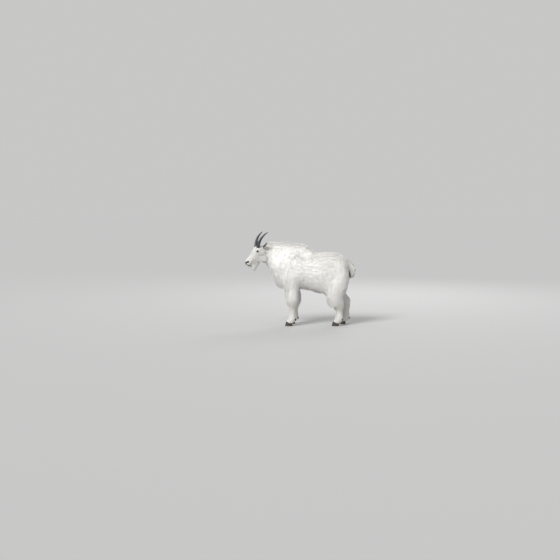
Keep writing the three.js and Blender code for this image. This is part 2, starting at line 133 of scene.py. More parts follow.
# %% Legs, with breeches of hair that end in a hem above the cannons
for side in (-1, 1):
    y = side * LEG_SPREAD
    f = FRONT_STRIDE if side > 0 else 0.0
    h = HIND_STRIDE if side > 0 else 0.0
    front_hem = lambda x: 236 - 0.12 * (x + 100)
    hind_hem = lambda x, h=h: 237 - 0.306 * (x - 347 - h)
    down = (0.06, 0, -1)
    short = (5, 17, (0.03, 0, -1))
    mass("breeches", (-118 + f * 0.3, y, 560), (-103 + f, y * 0.98, 300), 95, 86, 0.8, 44, 115, down,
         front_hem)
    mass("shank", (-105 + f, y, 320), (-100 + f, y, 235), 51, 41, 0.85, *short)
    mass("shank", (-100 + f, y, 235), (-100 + f, y, 110), 37, 34, 0.85, *short)
    mass("shank", (-99 + f, y, 100), (-104 + f, y, 78), 35, 37, 0.9, *short)
    mass("shank", (-104 + f, y, 78), (-134 + f, y, 46), 36, 38, 0.95, *short)
    mass("breeches", (405 + h * 0.35, y * 1.03, 480), (408 + h * 0.55, y, 310), 112, 92, 0.74, 48, 115, down,
         hind_hem)
    mass("breeches", (408 + h * 0.55, y, 310), (432 + h * 0.8, y, 240), 92, 80, 0.76, 48, 110, down,
         hind_hem, False)
    mass("shank", (412 + h * 0.5, y, 420), (476 + h, y, 292), 60, 42, 0.8, 9, 30, down)
    mass("shank", (476 + h, y, 292), (472 + h, y, 235), 45, 43, 0.8, *short)
    mass("shank", (472 + h, y, 235), (470 + h, y, 110), 42, 38, 0.82, *short)
    mass("shank", (470 + h, y, 100), (466 + h, y, 78), 38, 39, 0.9, *short)
    mass("shank", (466 + h, y, 78), (434 + h, y, 46), 37, 38, 0.95, *short)

# %% Tail
mass("tail", (562, 0, 768), (628, 0, 688), 46, 43, 0.85, 24, 70, (0.4, 0, -1))
mass("tail", (628, 0, 688), (630, 0, 602), 43, 22, 0.8, 20, 70, (0.1, 0, -1))

# %% Head, laid out straight ahead
mass("head", (-478, 0, 922), (-525, 0, 914), 50, 49, 1.0, 7, 22, (0.9, 0, 0.35))
mass("head", (-538, 0, 902), (-650, 0, 785), 42, 24, 0.86, 4, 11, (0.7, 0, 0.72))
pair("head", (-566, 15, 852), (-640, 9, 780), 29, 15, 0.9, 4, 11, (0.85, 0, 0.3))
mass("head", (-648, 0, 776), (-662, 0, 757), 27, 23, 1.05, 2.5, 7, (0.7, 0, 0.4))
mass("head", (-490, 0, 838), (-632, 0, 730), 40, 15, 0.9, 5, 16, (0.9, 0, -0.3))
pair("head", (-474, 34, 822), (-545, 24, 818), 50, 28, 0.6, 9, 26, (0.8, 0, -0.55))
pair("head", (-492, 45, 884), (-562, 34, 880), 18, 15, 1.0, 5, 14, (0.95, 0, -0.1))
pair("head", (-548, 39, 925), (-526, 44, 922), 16, 16, 1.0, 4, 12, (0.9, 0, 0.3))
mass("head", (-462, 0, 868), (-405, 0, 868), 46, 66, 0.8, 22, 50, (0.65, 0, -0.75))
mass("head", (-462, 0, 918), (-400, 0, 915), 46, 74, 0.8, 24, 55, (0.9, 0, -0.3))
mass("head", (-575, 0, 742), (-573, 0, 674), 44, 18, 0.55, 30, 80, (0.1, 0, -1), None, False)
print("masses", len(masses))

# %% [markdown]
# ## Distance to skin and coat
# The body's surface is where a distance field is zero. Neighbouring masses melt into each other through a
# soft minimum, as muscle and hide do, so there is no seam between trunk, neck, head and legs. `inset` 0
# gives the outline of the coat and 1 the skin under it.

# %% The distance field
SOFT = {"body": 26.0, "breeches": 8.0, "shank": 8.0, "tail": 10.0, "head": 14.0}
SOFT_BETWEEN_GROUPS = 12.0


def straighten(points):
    d = points - NECK_PIVOT
    c, s = math.cos(HEAD_TURN), math.sin(HEAD_TURN)
    return np.stack([d[:, 0] * c + d[:, 1] * s, d[:, 1] * c - d[:, 0] * s, d[:, 2]], 1) + NECK_PIVOT


def turn_head(points):
    d = np.asarray(points, float).reshape(-1, 3) - NECK_PIVOT
    c, s = math.cos(HEAD_TURN), math.sin(HEAD_TURN)
    return np.stack([d[:, 0] * c - d[:, 1] * s, d[:, 0] * s + d[:, 1] * c, d[:, 2]], 1) + NECK_PIVOT


def to_mass(m, points, inset):
    scale = np.array([1, 1 / m["flat"], 1])
    run = (m["end"] - m["start"]) * scale
    q = (points - m["start"]) * scale
    t = np.clip(q @ run / (run @ run), 0, 1)
    q = q - t[:, None] * run
    away = np.sqrt(np.einsum("ij,ij->i", q, q))
    d = (away - m["r0"] - (m["r1"] - m["r0"]) * t + inset * m["coat"]) * (0.5 + 0.5 * m["flat"])
    if m["hem"] and inset == 0:
        d = np.maximum(d, (m["hem"](points[:, 0]) - points[:, 2]) * 0.9)
    return d


def soft_union(parts, soft):
    parts = np.stack(parts)
    nearest = parts.min(0)
    return nearest - soft * np.log(np.exp((nearest - parts) / soft).sum(0))


def field(points, inset):
    straight = straighten(points)
    groups = {}
    for m in masses:
        if m["flesh"] or inset == 0:
            at = straight if m["group"] == "head" else points
            groups.setdefault(m["group"], []).append(to_mass(m, at, inset))
    return soft_union([soft_union(v, SOFT[k]) for k, v in groups.items()], SOFT_BETWEEN_GROUPS)


# %% [markdown]
# ## Features of the head
# The eyelids, nostrils, mouth and ears are too fine for round masses. They are added to the skin's field
# as small shapes of their own: a ball with an almond cut for the lids, bent slits for the nostrils, a thin
# groove along the lips, and a cupped leaf for each ear. Working in the field keeps them in one skin, with
# no seam round the ear.

# %% Ears, lids, nostrils and lips in the field
EAR_ROOT = np.array([-484.0, 42.0, 941.0])
EAR_OUT = np.array([0.12, 0.82, 0.56]) / np.linalg.norm([0.12, 0.82, 0.56])
EAR_LENGTH, EAR_HALF_WIDTH = 131.0, 23.5
EYE_OUT = np.array([-0.34, 0.93, 0.06]) / np.linalg.norm([-0.34, 0.93, 0.06])
EYE_ALONG = np.array([-0.86, -0.28, -0.42])
EYE_HALF_LENGTH, UPPER_LID, LOWER_LID = 14.2, 10.2, 8.6


def mirrored(vector, side):
    return np.array([vector[0], vector[1] * side, vector[2]])


def ear_axes(side):
    out = mirrored(EAR_OUT, side)
    opening = np.array([-1.0, 0, 0]) + out * out[0]
    opening /= np.linalg.norm(opening)
    return out, opening, np.cross(opening, out)


def in_ear(points, side):
    out, opening, across = ear_axes(side)
    q = points - mirrored(EAR_ROOT, side)
    a, b, c = q @ out, q @ across, q @ opening
    t = np.clip(a / EAR_LENGTH, 0, 1)
    half = EAR_HALF_WIDTH * (np.sin(np.pi * (0.2 + 0.8 * t)) ** 0.8 * (1 - 0.25 * t)) + 1.0
    b_in_half = np.clip(b / half, -1, 1)
    middle = -9 * np.sin(np.pi * t) - 5.5 * (1 - b_in_half ** 2) + 1.5
    return a, np.abs(b) - half, b_in_half, c - middle, t


def ear_leaf(points, side):
    a, past_rim, _, front, t = in_ear(points, side)
    sheet = np.abs(front) - 2.4 - 1.6 * (1 - t)
    return np.maximum(np.maximum(sheet, past_rim * 0.8), np.maximum(-a - 6, a - EAR_LENGTH))


def eye_axes(side):
    out = mirrored(EYE_OUT, side)
    along = mirrored(EYE_ALONG, side)
    along = along - out * (along @ out)
    along /= np.linalg.norm(along)
    up = np.cross(out, along) * side
    return out, along, up


def almond(points, side):
    out, along, up = eye_axes(side)
    q = points - mirrored(EYE_CENTRE, side)
    u, v, w = q @ along, q @ up, q @ out
    reach = 1 - np.clip(np.abs(u) / EYE_HALF_LENGTH, 0, 1.3) ** 2
    edge = np.where(v > 0, UPPER_LID, LOWER_LID) * reach
    return np.maximum(np.abs(v) - edge, -w + 3)


def along_path(points, path, radius):
    path = np.array(path, float)
    best = np.full(len(points), 1e9)
    for a, b in zip(path[:-1], path[1:]):
        run = b - a
        t = np.clip((points - a) @ run / (run @ run), 0, 1)
        best = np.minimum(best, np.linalg.norm(points - a - t[:, None] * run, axis=1))
    return best - radius


def smooth_cut(d, cutter, soft):
    return soft * np.logaddexp(d / soft, -cutter / soft)


NOSTRIL = [(-689, 7, 764), (-686, 13, 770), (-680, 18, 776), (-672, 22, 780), (-666, 24, 781)]
LIP_LINE = [(-692, 0, 751), (-684, 0, 748), (-670, 0, 742), (-655, 0, 736), (-641, 0, 733), (-627, 0, 737),
            (-613, 0, 747)]
PHILTRUM = [(-690, 0, 764), (-688, 0, 756), (-684, 0, 748)]


def skin_field(points):
    d = field(points, 1)
    near = points[:, 0] < -395
    if near.any():
        s = straighten(points[near])
        h = d[near]
        for side in (-1, 1):
            h = soft_union([h, ear_leaf(s, side)], 3.0)
            centre = mirrored(EYE_CENTRE, side)
            lids = np.linalg.norm((s - centre + eye_axes(side)[0] * 1.2), axis=1) - EYE_RADIUS - 1.9
            h = soft_union([h, lids], 3.5)
            h = smooth_cut(h, almond(s, side), 0.8)
            h = smooth_cut(h, along_path(s, np.array(NOSTRIL) * [1, side, 1], 3.0), 1.0)
        h = smooth_cut(h, along_path(s, PHILTRUM, 1.2), 0.8)
        lips = along_path(s * [1, 0, 1], LIP_LINE, 1.8)
        h = smooth_cut(h, np.maximum(lips, -h - 3.5), 0.8)
        d[near] = h
    return d


# %% [markdown]
# ## From field to mesh
# A grid of cells is laid over the body, fine at the head and coarse on the trunk. Each cell that the
# surface crosses gets one point, and neighbouring points make quads. That method, called surface nets,
# gives even quads with no seam. To save time the field is worked out only near the surface. Afterwards
# each point is moved along the field's slope until it lies on the surface.

# %% Surface nets
def slope(function, points, e=0.6):
    corners = np.array([[1, -1, -1], [-1, -1, 1], [-1, 1, -1], [1, 1, 1]], float)
    return sum(c * function(points + c * e)[:, None] for c in corners) / (4 * e)


def move_onto(function, points, level, reach, steps):
    start = points.copy()
    for _ in range(steps):
        g = slope(function, points)
        off = (function(points) - level) / np.maximum((g * g).sum(1), 1e-4)
        moved = points - g * off[:, None] - start
        length = np.linalg.norm(moved, axis=1, keepdims=True)
        points = start + moved * np.minimum(1, reach / np.maximum(length, 1e-9))
    return points


def sample_grid(function, xs, ys, zs, block=4):
    shape = (len(xs), len(ys), len(zs))
    picks = [np.unique(np.r_[np.arange(0, n, block), n - 1]) for n in shape]
    sub = [axis[p] for axis, p in zip((xs, ys, zs), picks)]
    coarse = function(np.stack(np.meshgrid(*sub, indexing="ij"), -1).reshape(-1, 3))
    coarse = coarse.reshape([len(s) for s in sub])
    spans = [np.diff(s) for s in sub]
    diagonal = np.sqrt(sum(np.meshgrid(*[s ** 2 for s in spans], indexing="ij")))
    corner = [coarse[i:i + diagonal.shape[0], j:j + diagonal.shape[1], k:k + diagonal.shape[2]]
              for i in (0, 1) for j in (0, 1) for k in (0, 1)]
    near = np.min(np.abs(corner), 0) < diagonal * 1.5 + 4
    owner = [np.minimum(np.arange(n) // block, len(p) - 2) for n, p in zip(shape, picks)]
    values = corner[0][np.ix_(*owner)].astype(np.float32)
    wanted = np.zeros(shape, bool)
    for i in (0, 1):
        for j in (0, 1):
            for k in (0, 1):
                shifted = [np.clip(o - s * (np.arange(n) % block == 0), 0, None)
                           for o, n, s in zip(owner, shape, (i, j, k))]
                wanted |= near[np.ix_(*shifted)]
    index = np.argwhere(wanted)
    for part in np.array_split(index, max(1, len(index) // 200000)):
        points = np.stack([xs[part[:, 0]], ys[part[:, 1]], zs[part[:, 2]]], 1)
        values[part[:, 0], part[:, 1], part[:, 2]] = function(points)
    return values


def surface_nets(values, xs, ys, zs):
    inside = values < 0
    cells = tuple(n - 1 for n in inside.shape)
    total = np.zeros(cells, np.int8)
    for i in (0, 1):
        for j in (0, 1):
            for k in (0, 1):
                total += inside[i:i + cells[0], j:j + cells[1], k:k + cells[2]]
    index = np.argwhere((total > 0) & (total < 8))
    number = np.full(cells, -1)
    number[tuple(index.T)] = np.arange(len(index))
    points, count = np.zeros((len(index), 3)), np.zeros(len(index))
    corner = []
    for c in range(8):
        q = index + [c & 1, c >> 1 & 1, c >> 2 & 1]
        corner.append((values[tuple(q.T)], np.stack([xs[q[:, 0]], ys[q[:, 1]], zs[q[:, 2]]], 1)))
    for c in range(8):
        for bit in (1, 2, 4):
            if not c & bit:
                (fa, pa), (fb, pb) = corner[c], corner[c | bit]
                crossed = (fa < 0) != (fb < 0)
                t = np.where(crossed, fa / np.where(crossed, fa - fb, 1), 0)
                points += np.where(crossed[:, None], pa + t[:, None] * (pb - pa), 0)
                count += crossed
    quads = []
    for axis in range(3):
        front = [slice(None)] * 3
        back = [slice(None)] * 3
        front[axis], back[axis] = slice(0, -1), slice(1, None)
        edge = np.argwhere(inside[tuple(front)] != inside[tuple(back)])
        b, c = (axis + 1) % 3, (axis + 2) % 3
        edge = edge[(edge[:, b] > 0) & (edge[:, c] > 0) & (edge[:, b] < cells[b]) & (edge[:, c] < cells[c])]
        db, dc = np.eye(3, dtype=int)[b], np.eye(3, dtype=int)[c]
        quad = np.stack([number[tuple((edge - s).T)] for s in (db + dc, dc, 0 * db, db)], 1)
        outward = inside[tuple(edge.T)]
        quads.append(np.where(outward[:, None], quad, quad[:, ::-1]))
    return points / count[:, None], np.concatenate(quads)


def span(stops):
    parts = [np.arange(a, b, step) for a, b, step in stops]
    return np.concatenate(parts + [[stops[-1][1]]])


# %% Make the skin
BEHIND_HEAD = -404
xs = span([(-716, -656, 2.1), (-656, BEHIND_HEAD, 2.7), (BEHIND_HEAD, 700, 16.0)])
ys = span([(-204, -164, 8.0), (-164, 130, 2.7), (130, 208, 10.0)])
zs = span([(4, 240, 9.0), (240, 664, 14.0), (664, 740, 3.0), (740, 792, 2.2), (792, 880, 3.0),
           (880, 930, 2.5), (930, 1020, 3.0)])
grid = sample_grid(skin_field, xs, ys, zs)
skin_points, skin_quads = surface_nets(grid, xs, ys, zs)
reach = np.where(skin_points[:, 0] < BEHIND_HEAD, 1.3, 5.0)[:, None]
skin_points = move_onto(skin_field, skin_points, 0.0, reach, 3)
print("skin", len(skin_points), "points", len(skin_quads), "quads")


# %% [markdown]
# ## Markings
# The coat is white all over, a little creamier on the lower legs, on the knees and under the tail, where
# it rubs and gets stained. The nose pad, the lips and the lids are bare and dark. A small patch beside the
# tail is made near black as painted shadow under the tail, over a little bare dark skin, and the hollow of
# each ear is painted dark grey as shade, over its bare inner skin. The same functions mark the skin and
# the hair, so the two always agree. They are worked out from the named places, not painted on a picture.

# %% Where the skin is bare or stained
def smooth_step(x, a, b):
    t = np.clip((x - a) / (b - a), 0, 1)
    return t * t * (3 - 2 * t)


def nose_mark(points):
    s = straighten(points)
    pad = along_path(s, [(-694, 0, 769), (-684, 0, 757)], 12)
    pad = np.minimum(pad, along_path(s * [1, 0, 1], LIP_LINE, 4.2))
    for side in (-1, 1):
        pad = np.minimum(pad, along_path(s, [(-690, 6 * side, 766), (-662, 25 * side, 780)], 13.5))
    return 1 - smooth_step(pad, -1.5, 1.5)


def lid_mark(points):
    s = straighten(points)
    ring = np.full(len(s), 1e3)
    for side in (-1, 1):
        near = np.linalg.norm(s - mirrored(EYE_CENTRE, side), axis=1) < 34
        out, along, up = eye_axes(side)
        corner = mirrored(EYE_CENTRE, side) + along * 13.5 + out * 8
        duct = along_path(s[near], [corner, corner + along * 6 - out * 3], 0.2)
        ring[near] = np.minimum(ring[near], np.minimum(almond(s[near], side), duct))
    return 1 - smooth_step(ring, 2.8, 4.4)


def ear_place(points):
    s = straighten(points)
    best, inner, along = np.full(len(s), 1e3), np.zeros(len(s)), np.zeros(len(s))
    for side in (-1, 1):
        _, _, b, front, t = in_ear(s, side)
        # The hollow of the ear is later painted dark grey as shade, over its bare inner skin.
        hollow = smooth_step(front, 0.2, 1.6) * (1 - smooth_step(np.abs(b), 0.7, 0.95))
        d = ear_leaf(s, side)
        mine = d < best
        best, inner, along = (np.where(mine, *both) for both in ((d, best), (hollow, inner), (t, along)))
    return best, inner, along


# Painted shadow under the tail: a near black patch between tail and rump, over a little bare dark skin.
def tail_shadow_and_bare_skin(points):
    away = along_path(points * [1, 0, 1], [(586, 0, 668), (602, 0, 592)], 11)
    away = np.maximum(away, np.abs(points[:, 1]) - 60)
    return 1 - smooth_step(away, -6, 5)


def stain_mark(points):
    x, y, z = points.T
    low = 1 - smooth_step(z, 230, 420)
    knee = np.exp(-((z - 205) / 45) ** 2) * (z < 300)
    tail = np.exp(-np.sum(((points - [600, 0, 640]) / [50, 60, 110]) ** 2, 1))
    return np.clip(0.12 * low + 0.2 * knee + 0.35 * tail, 0, 1)


# Real black skin of nose, lips and lids, plus the painted shadow under the tail.
def black_skin_and_tail_shadow_mark(points):
    return np.maximum(np.maximum(nose_mark(points), lid_mark(points)), tail_shadow_and_bare_skin(points))


# %% [markdown]
# ## Mesh helpers
# Points and faces become a Blender mesh in metres. Numbers that a material reads per point are stored on
# the mesh as attributes. A shape made of rings of points is closed at both ends, so that it is a solid.

# %% Build meshes and store attributes
def mark_points(mesh, marks):
    for mark, values in marks.items():
        kind, field_name = ("FLOAT_VECTOR", "vector") if np.ndim(values) == 2 else ("FLOAT", "value")
        layer = mesh.attributes.new(mark, kind, "POINT")
        layer.data.foreach_set(field_name, np.asarray(values, float).ravel())


def in_scene(name, data):
    thing = bpy.data.objects.new(name, data)
    bpy.context.scene.collection.objects.link(thing)
    return thing


def build_mesh(name, points, faces, slot, **marks):
    mesh = bpy.data.meshes.new(name)
    mesh.from_pydata((np.asarray(points) / 1000).tolist(), [], faces)
    mesh.shade_smooth()
    mark_points(mesh, marks)
    piece = in_scene(name, mesh)
    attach(piece, "root")
    return piece


def ring_faces(rings, around):
    faces = []
    for r in range(rings - 1):
        for i in range(around):
            j = (i + 1) % around
            faces.append((r * around + i, r * around + j, (r + 1) * around + j, (r + 1) * around + i))
    faces.append(tuple(range(around))[::-1])
    faces.append(tuple(range((rings - 1) * around, rings * around)))
    return faces


# On the skin the dark mark is its real black skin plus the painted shadow under the tail, and the ear mark
# is painted shade in each ear's hollow.
skin = build_mesh("skin", skin_points, skin_quads.tolist(), "coat_white", dark=black_skin_and_tail_shadow_mark(skin_points),
                  inner_ear=(ear_place(skin_points)[0] < 1.5) * ear_place(skin_points)[1],
                  stain=stain_mark(skin_points))
flesh = ["trunk", "neck", "tail", "head", "ear_left", "ear_right", "leg_front_left", "leg_front_right",
         "leg_hind_left", "leg_hind_right"]
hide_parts(*flesh)
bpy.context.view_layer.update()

# %% [markdown]
# ## Eyes
# A goat's eye is a wet dark ball with a low brown iris and a pupil that lies flat across it. It is a
# sphere with a slight bulge for the cornea. Every point keeps its own coordinates in the eye, so that the
# material can draw iris and pupil by their shape. The rims of the lids are tubes along the edge of the
# almond opening.

# %% Eyeballs and lids
def eyeball(side):
    out, along, up = eye_axes(side)
    around, rings = 40, 26
    points, places = [], []
    for r in range(rings):
        theta = math.pi * (r + 0.5) / rings
        radius = (EYE_RADIUS - 0.5) * (1 + 0.05 * math.exp(-(theta / 0.5) ** 2))
        for i in range(around):
            phi = 2 * math.pi * i / around
            x, y, z = math.sin(theta) * math.cos(phi), math.sin(theta) * math.sin(phi), math.cos(theta)
            points.append(mirrored(EYE_CENTRE, side) + radius * (x * along + y * up * side + z * out))
            places.append((x, y, z))
    return turn_head(np.array(points)), ring_faces(rings, around), np.array(places)


def lid_rim(side):
    out, along, up = eye_axes(side)
    around, steps = 8, 72
    path = []
    for i in range(steps):
        a = 2 * math.pi * i / steps
        upper = math.sin(a) > 0
        edge = UPPER_LID + 0.4 if upper else -LOWER_LID - 0.4
        u = (EYE_HALF_LENGTH - 0.2) * math.cos(a)
        v = edge * (1 - (u / EYE_HALF_LENGTH) ** 2)
        w = math.sqrt(max((EYE_RADIUS + 0.7) ** 2 - u * u - v * v, 1))
        path.append(mirrored(EYE_CENTRE, side) + u * along + v * up + w * out)
    path = np.array(path)
    path = (np.roll(path, 1, 0) + 2 * path + np.roll(path, -1, 0)) / 4
    points = []
    for i in range(steps):
        ahead = path[(i + 1) % steps] - path[i - 1]
        ahead /= np.linalg.norm(ahead)
        side_way = np.cross(ahead, out)
        side_way /= np.linalg.norm(side_way)
        lift = np.cross(side_way, ahead)
        thick = 2.0 if math.sin(2 * math.pi * i / steps) > 0 else 1.6
        for j in range(around):
            b = 2 * math.pi * j / around
            points.append(path[i] + thick * (math.cos(b) * side_way + 0.9 * math.sin(b) * lift))
    faces = []
    for i in range(steps):
        for j in range(around):
            k, m = (i + 1) % steps, (j + 1) % around
            faces.append((i * around + j, i * around + m, k * around + m, k * around + j))
    return turn_head(np.array(points)), faces


def face_outward(piece):
    shape = bmesh.new()
    shape.from_mesh(piece.data)
    bmesh.ops.recalc_face_normals(shape, faces=shape.faces)
    shape.to_mesh(piece.data)
    shape.free()


SIDES = (("left", -1), ("right", 1))
eyes, lids = [], []
for name, side in SIDES:
    points, faces, places = eyeball(side)
    ball = build_mesh("eyeball_" + name, points, faces, "eye_dark", gaze=places)
    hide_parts("eye_" + name)
    points, faces = lid_rim(side)
    lid = build_mesh("eyelid_" + name, points, faces, "eye_dark")
    for piece in (ball, lid):
        face_outward(piece)
    eyes.append(ball)
    lids.append(lid)
print("eyes", len(eyes), "lids", len(lids))

# %% [markdown]
# ## Horns
# Each horn is a hollow sheath of black keratin that grows a ring each year. The rings crowd together near
# the base and fade out above the middle, and the tip is smooth and sharp. We sweep an oval along an arc
# that leans further back towards the tip, and raise it a little at every ring.

# %% Horns
HORN_ROOT = np.array([-537.0, 31.0, 944.0])
HORN_LENGTH, HORN_SPREAD = 236.0, 60.0
HORN_LONG, HORN_WIDE, HORN_TIP = 22.0, 19.0, 0.015
HORN_RINGS, HORN_FLUTES = 18, 9
LEAN_BASE, LEAN_TIP = math.radians(-2), math.radians(62)


def horn_points(side, around=40, steps=150):
    turn = LEAN_TIP - LEAN_BASE
    rings, wraps = [], []
    for n in range(steps + 1):
        t = -0.05 + 1.05 * n / steps
        lean = LEAN_BASE + turn * t
        x = HORN_ROOT[0] + HORN_LENGTH / turn * (math.cos(LEAN_BASE) - math.cos(lean))
        z = HORN_ROOT[2] + HORN_LENGTH / turn * (math.sin(lean) - math.sin(LEAN_BASE))
        y = side * (HORN_ROOT[1] + HORN_SPREAD * max(t, 0))
        taper = max(1 - t, 0) ** 0.66 + HORN_TIP
        ring = math.sin(math.pi * (HORN_RINGS * max(t, 0) ** 0.8 + 0.2)) ** 2
        relief = 1.15 * (ring ** 1.5 - 0.45) * (1 - smooth_step(t, 0.42, 0.66)) * smooth_step(t, 0, 0.03)
        for i in range(around):
            a = 2 * math.pi * i / around
            flute = 0.28 * math.sin(a * HORN_FLUTES + 2 * t) * (1 - t)
            raised = relief * (1 + 0.35 * math.cos(a)) + flute
            long, wide = HORN_LONG * taper + raised, HORN_WIDE * taper + raised
            u, v = math.cos(a) * long, math.sin(a) * wide
            rings.append((x + u * math.cos(lean), y + v, z - u * math.sin(lean)))
            wrap = HORN_WIDE * taper
            wraps.append((math.cos(a) * wrap, math.sin(a) * wrap, t * HORN_LENGTH))
    return turn_head(np.array(rings)), ring_faces(steps + 1, around), np.array(wraps)


horns = []
for name, side in SIDES:
    points, faces, wraps = horn_points(side)
    horn = build_mesh("horn_sheath_" + name, points, faces, "horn_black", wrap=wraps)
    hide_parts("horn_" + name)
    face_outward(horn)
    horns.append(horn)
print("horns", len(horns[0].data.vertices), "points each")

# %% [markdown]
# ## Hooves and dewclaws
# Each foot has two toes with a hard outer wall that grows down from the coronet in fine rings, a blunt
# worn edge and a flat sole. Above the heel sit two small dewclaws. The toe is a stack of rings that follow
# the outline of the sole, lean back to the coronet's sloping plane and swell a little at the heel.

# %% Toes
TOE_SPACING, TOE_HALF_WIDTH = 17.8, 16.5
CORONET_HEIGHT, CORONET_FALL = 53, 26
CLAW_LENGTH = 30


def coronet(x, front, length):
    return CORONET_HEIGHT - CORONET_FALL / length * (x - front - 14)


def toe_points(middle, y, length, towards, around=44, levels=26):
    points, heights = [], []
    front = middle - length / 2
    for n in range(levels + 1):
        t = max(0.0, (n - 1) / (levels - 1))
        worn = 1 - 0.045 * (n == 0)
        for i in range(around):
            a = -2 * math.pi * i / around
            growth = 0.3 * math.sin(26 * t + 0.6 * math.sin(a)) * (0.2 < t < 0.97)
            round_top = 0.12 * smooth_step(t, 0.86, 1.0)
            long = (length / 2 * (1 - 0.2 * t ** 0.9) + growth) * worn * (1 - round_top)
            wide = (TOE_HALF_WIDTH * (1 - 0.1 * t) + growth) * worn * (1 - round_top)
            x = middle + 7 * t - long * math.cos(a)
            across = wide * math.sin(a) * (1 - 0.24 * math.cos(a))
            across *= 0.92 if across * towards > 0 else 1
            z = t * (coronet(x, front, length) + 1.5) + (1.4 if n == 1 else 0)
            points.append((x, y + across, z))
            heights.append((x - middle, across, z))
    return np.array(points), ring_faces(levels + 1, around), np.array(heights)


def claw_points(x, y, z, around=20, levels=14):
    direction, side = np.array([0.62, 0, -0.78]), np.array([0.0, 1, 0])
    back = np.cross(direction, side)
    points = []
    for n in range(levels + 1):
        t = n / levels
        radius = np.interp(t, [0, 0.15, 0.4, 0.78, 0.93, 1], [6.5, 8.6, 9.5, 7.5, 5.0, 1.5])
        for i in range(around):
            a = 2 * math.pi * i / around
            points.append(np.array([x, y, z]) + direction * CLAW_LENGTH * t + side * math.cos(a) * radius
                          + back * math.sin(a) * radius * 0.85)
    return np.array(points), ring_faces(levels + 1, around)


hooves = []
for end, toe_x, length, stride, claw_x, claw_z in (("front", -145, 88, FRONT_STRIDE, -74, 88),
                                                  ("hind", 421, 86, HIND_STRIDE, 498, 90)):
    for name, side in SIDES:
        shift = stride if side > 0 else 0
        for place, outward in (("outer", side), ("inner", -side)):
            node = f"{end}_{name}_{place}"
            y = side * LEG_SPREAD + outward * TOE_SPACING
            points, faces, wall = toe_points(toe_x + shift, y, length, -outward)
            hoof = build_mesh("toe_" + node, points, faces, "hoof_dark", wall=wall)
            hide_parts("hoof_" + node)
            points, faces = claw_points(claw_x + shift, side * LEG_SPREAD + outward * 17, claw_z)
            claw = build_mesh("claw_" + node, points, faces, "hoof_dark", wall=points)
            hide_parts("dewclaw_" + node)
            for piece in (hoof, claw):
                face_outward(piece)
                hooves.append(piece)
print("hooves and dewclaws", len(hooves))

# %% [markdown]
# ## The lie of the coat
# Hair does not stand straight up: it leaves the skin at a slant and follows streamlines that run back
# along the body and down the flanks and legs. Each mass knows its own direction, so at any place we blend
# the directions, lengths and depths of the nearest masses, and press the direction flat onto the skin.
# Gentle waves turn it a few degrees to and fro, as in a real coat.

# %% Choose the roots of the hair
def blended(points):
    straight = straighten(points)
    distances, values = [], []
    for m in masses:
        if not m["flesh"]:
            continue
        on_head = m["group"] == "head"
        distances.append(to_mass(m, straight if on_head else points, 1))
        lie = turn_head(m["lie"] + NECK_PIVOT)[0] - NECK_PIVOT if on_head else m["lie"]
        lie = lie / np.linalg.norm(lie)
        spread_out = (m["r0"] + m["r1"]) / (m["r0"] + m["r1"] - 2 * m["coat"])
        values.append([m["coat"], m["hair"], on_head, m["group"] in ("shank", "breeches"),
                       m["group"] == "tail", *lie, spread_out])
    distances = np.stack(distances, 1)
    weights = np.exp(-(distances - distances.min(1, keepdims=True)) / 16)
    weights /= weights.sum(1, keepdims=True)
    return weights @ np.array(values)


def waves(points, scale, seed):
    x, y, z = (points / scale).T
    a, b, c = 1.7 + seed, 0.6 * seed, 2.3 * seed
    return (np.sin(x + a + 1.3 * np.sin(z * 0.9 + b)) + np.sin(z * 1.4 + c + np.sin(y * 1.1 + a))
            + np.sin(y * 1.2 + x * 0.5 + b)) / 3


def unit(vectors):
    return vectors / np.maximum(np.linalg.norm(vectors, axis=1, keepdims=True), 1e-6)


LENGTH_STEPS = [6, 10, 14, 20, 60, 120]
triangles = np.concatenate([skin_quads[:, [0, 1, 2]], skin_quads[:, [0, 2, 3]]])
corner_a, corner_b, corner_c = (skin_points[triangles[:, k]] for k in range(3))
cross = np.cross(corner_b - corner_a, corner_c - corner_a)
area = np.linalg.norm(cross, axis=1) / 2
middles = (corner_a + corner_b + corner_c) / 3
there = blended(middles)
hair_there = there[:, 1]
ear_distance, _, ear_along = ear_place(middles)
on_ear = (ear_distance < 2.0) & (field(middles, 1) > 2.5)
hair_there[on_ear] = 11
space = np.interp(hair_there, LENGTH_STEPS, [4.3, 5.4, 7.2, 12.5, 20.5, 21.5]) / there[:, 8]
expected = area / space
print("skin area m2", round(area.sum() / 1e6, 3), "locks wanted", int(expected.sum()))
amount = np.floor(expected + chance.random(len(expected))).astype(int)
owner = np.repeat(np.arange(len(amount)), amount)
r1, r2 = np.sqrt(chance.random(len(owner))), chance.random(len(owner))
roots = (corner_a[owner] * (1 - r1)[:, None] + corner_b[owner] * (r1 * (1 - r2))[:, None]
         + corner_c[owner] * (r1 * r2)[:, None])
on_ear, ear_along = on_ear[owner], ear_along[owner]
normals = unit(slope(skin_field, roots))

# %% Keep bare places free of hair
LEAN_OF_NOSE_HAIR = [5, 2, 3]
CORONET_HAIR = 32


def horn_base(points):
    s = straighten(points)
    away = np.full(len(s), 1e3)
    for side in (-1, 1):
        foot = mirrored(HORN_ROOT, side)
        away = np.minimum(away, along_path(s, [foot, foot + [4, 0, 40]], HORN_LONG))
    return away


def eye_distance(points):
    s = straighten(points)
    return np.minimum(*[np.linalg.norm(s - mirrored(EYE_CENTRE, side), axis=1) for side in (-1, 1)])


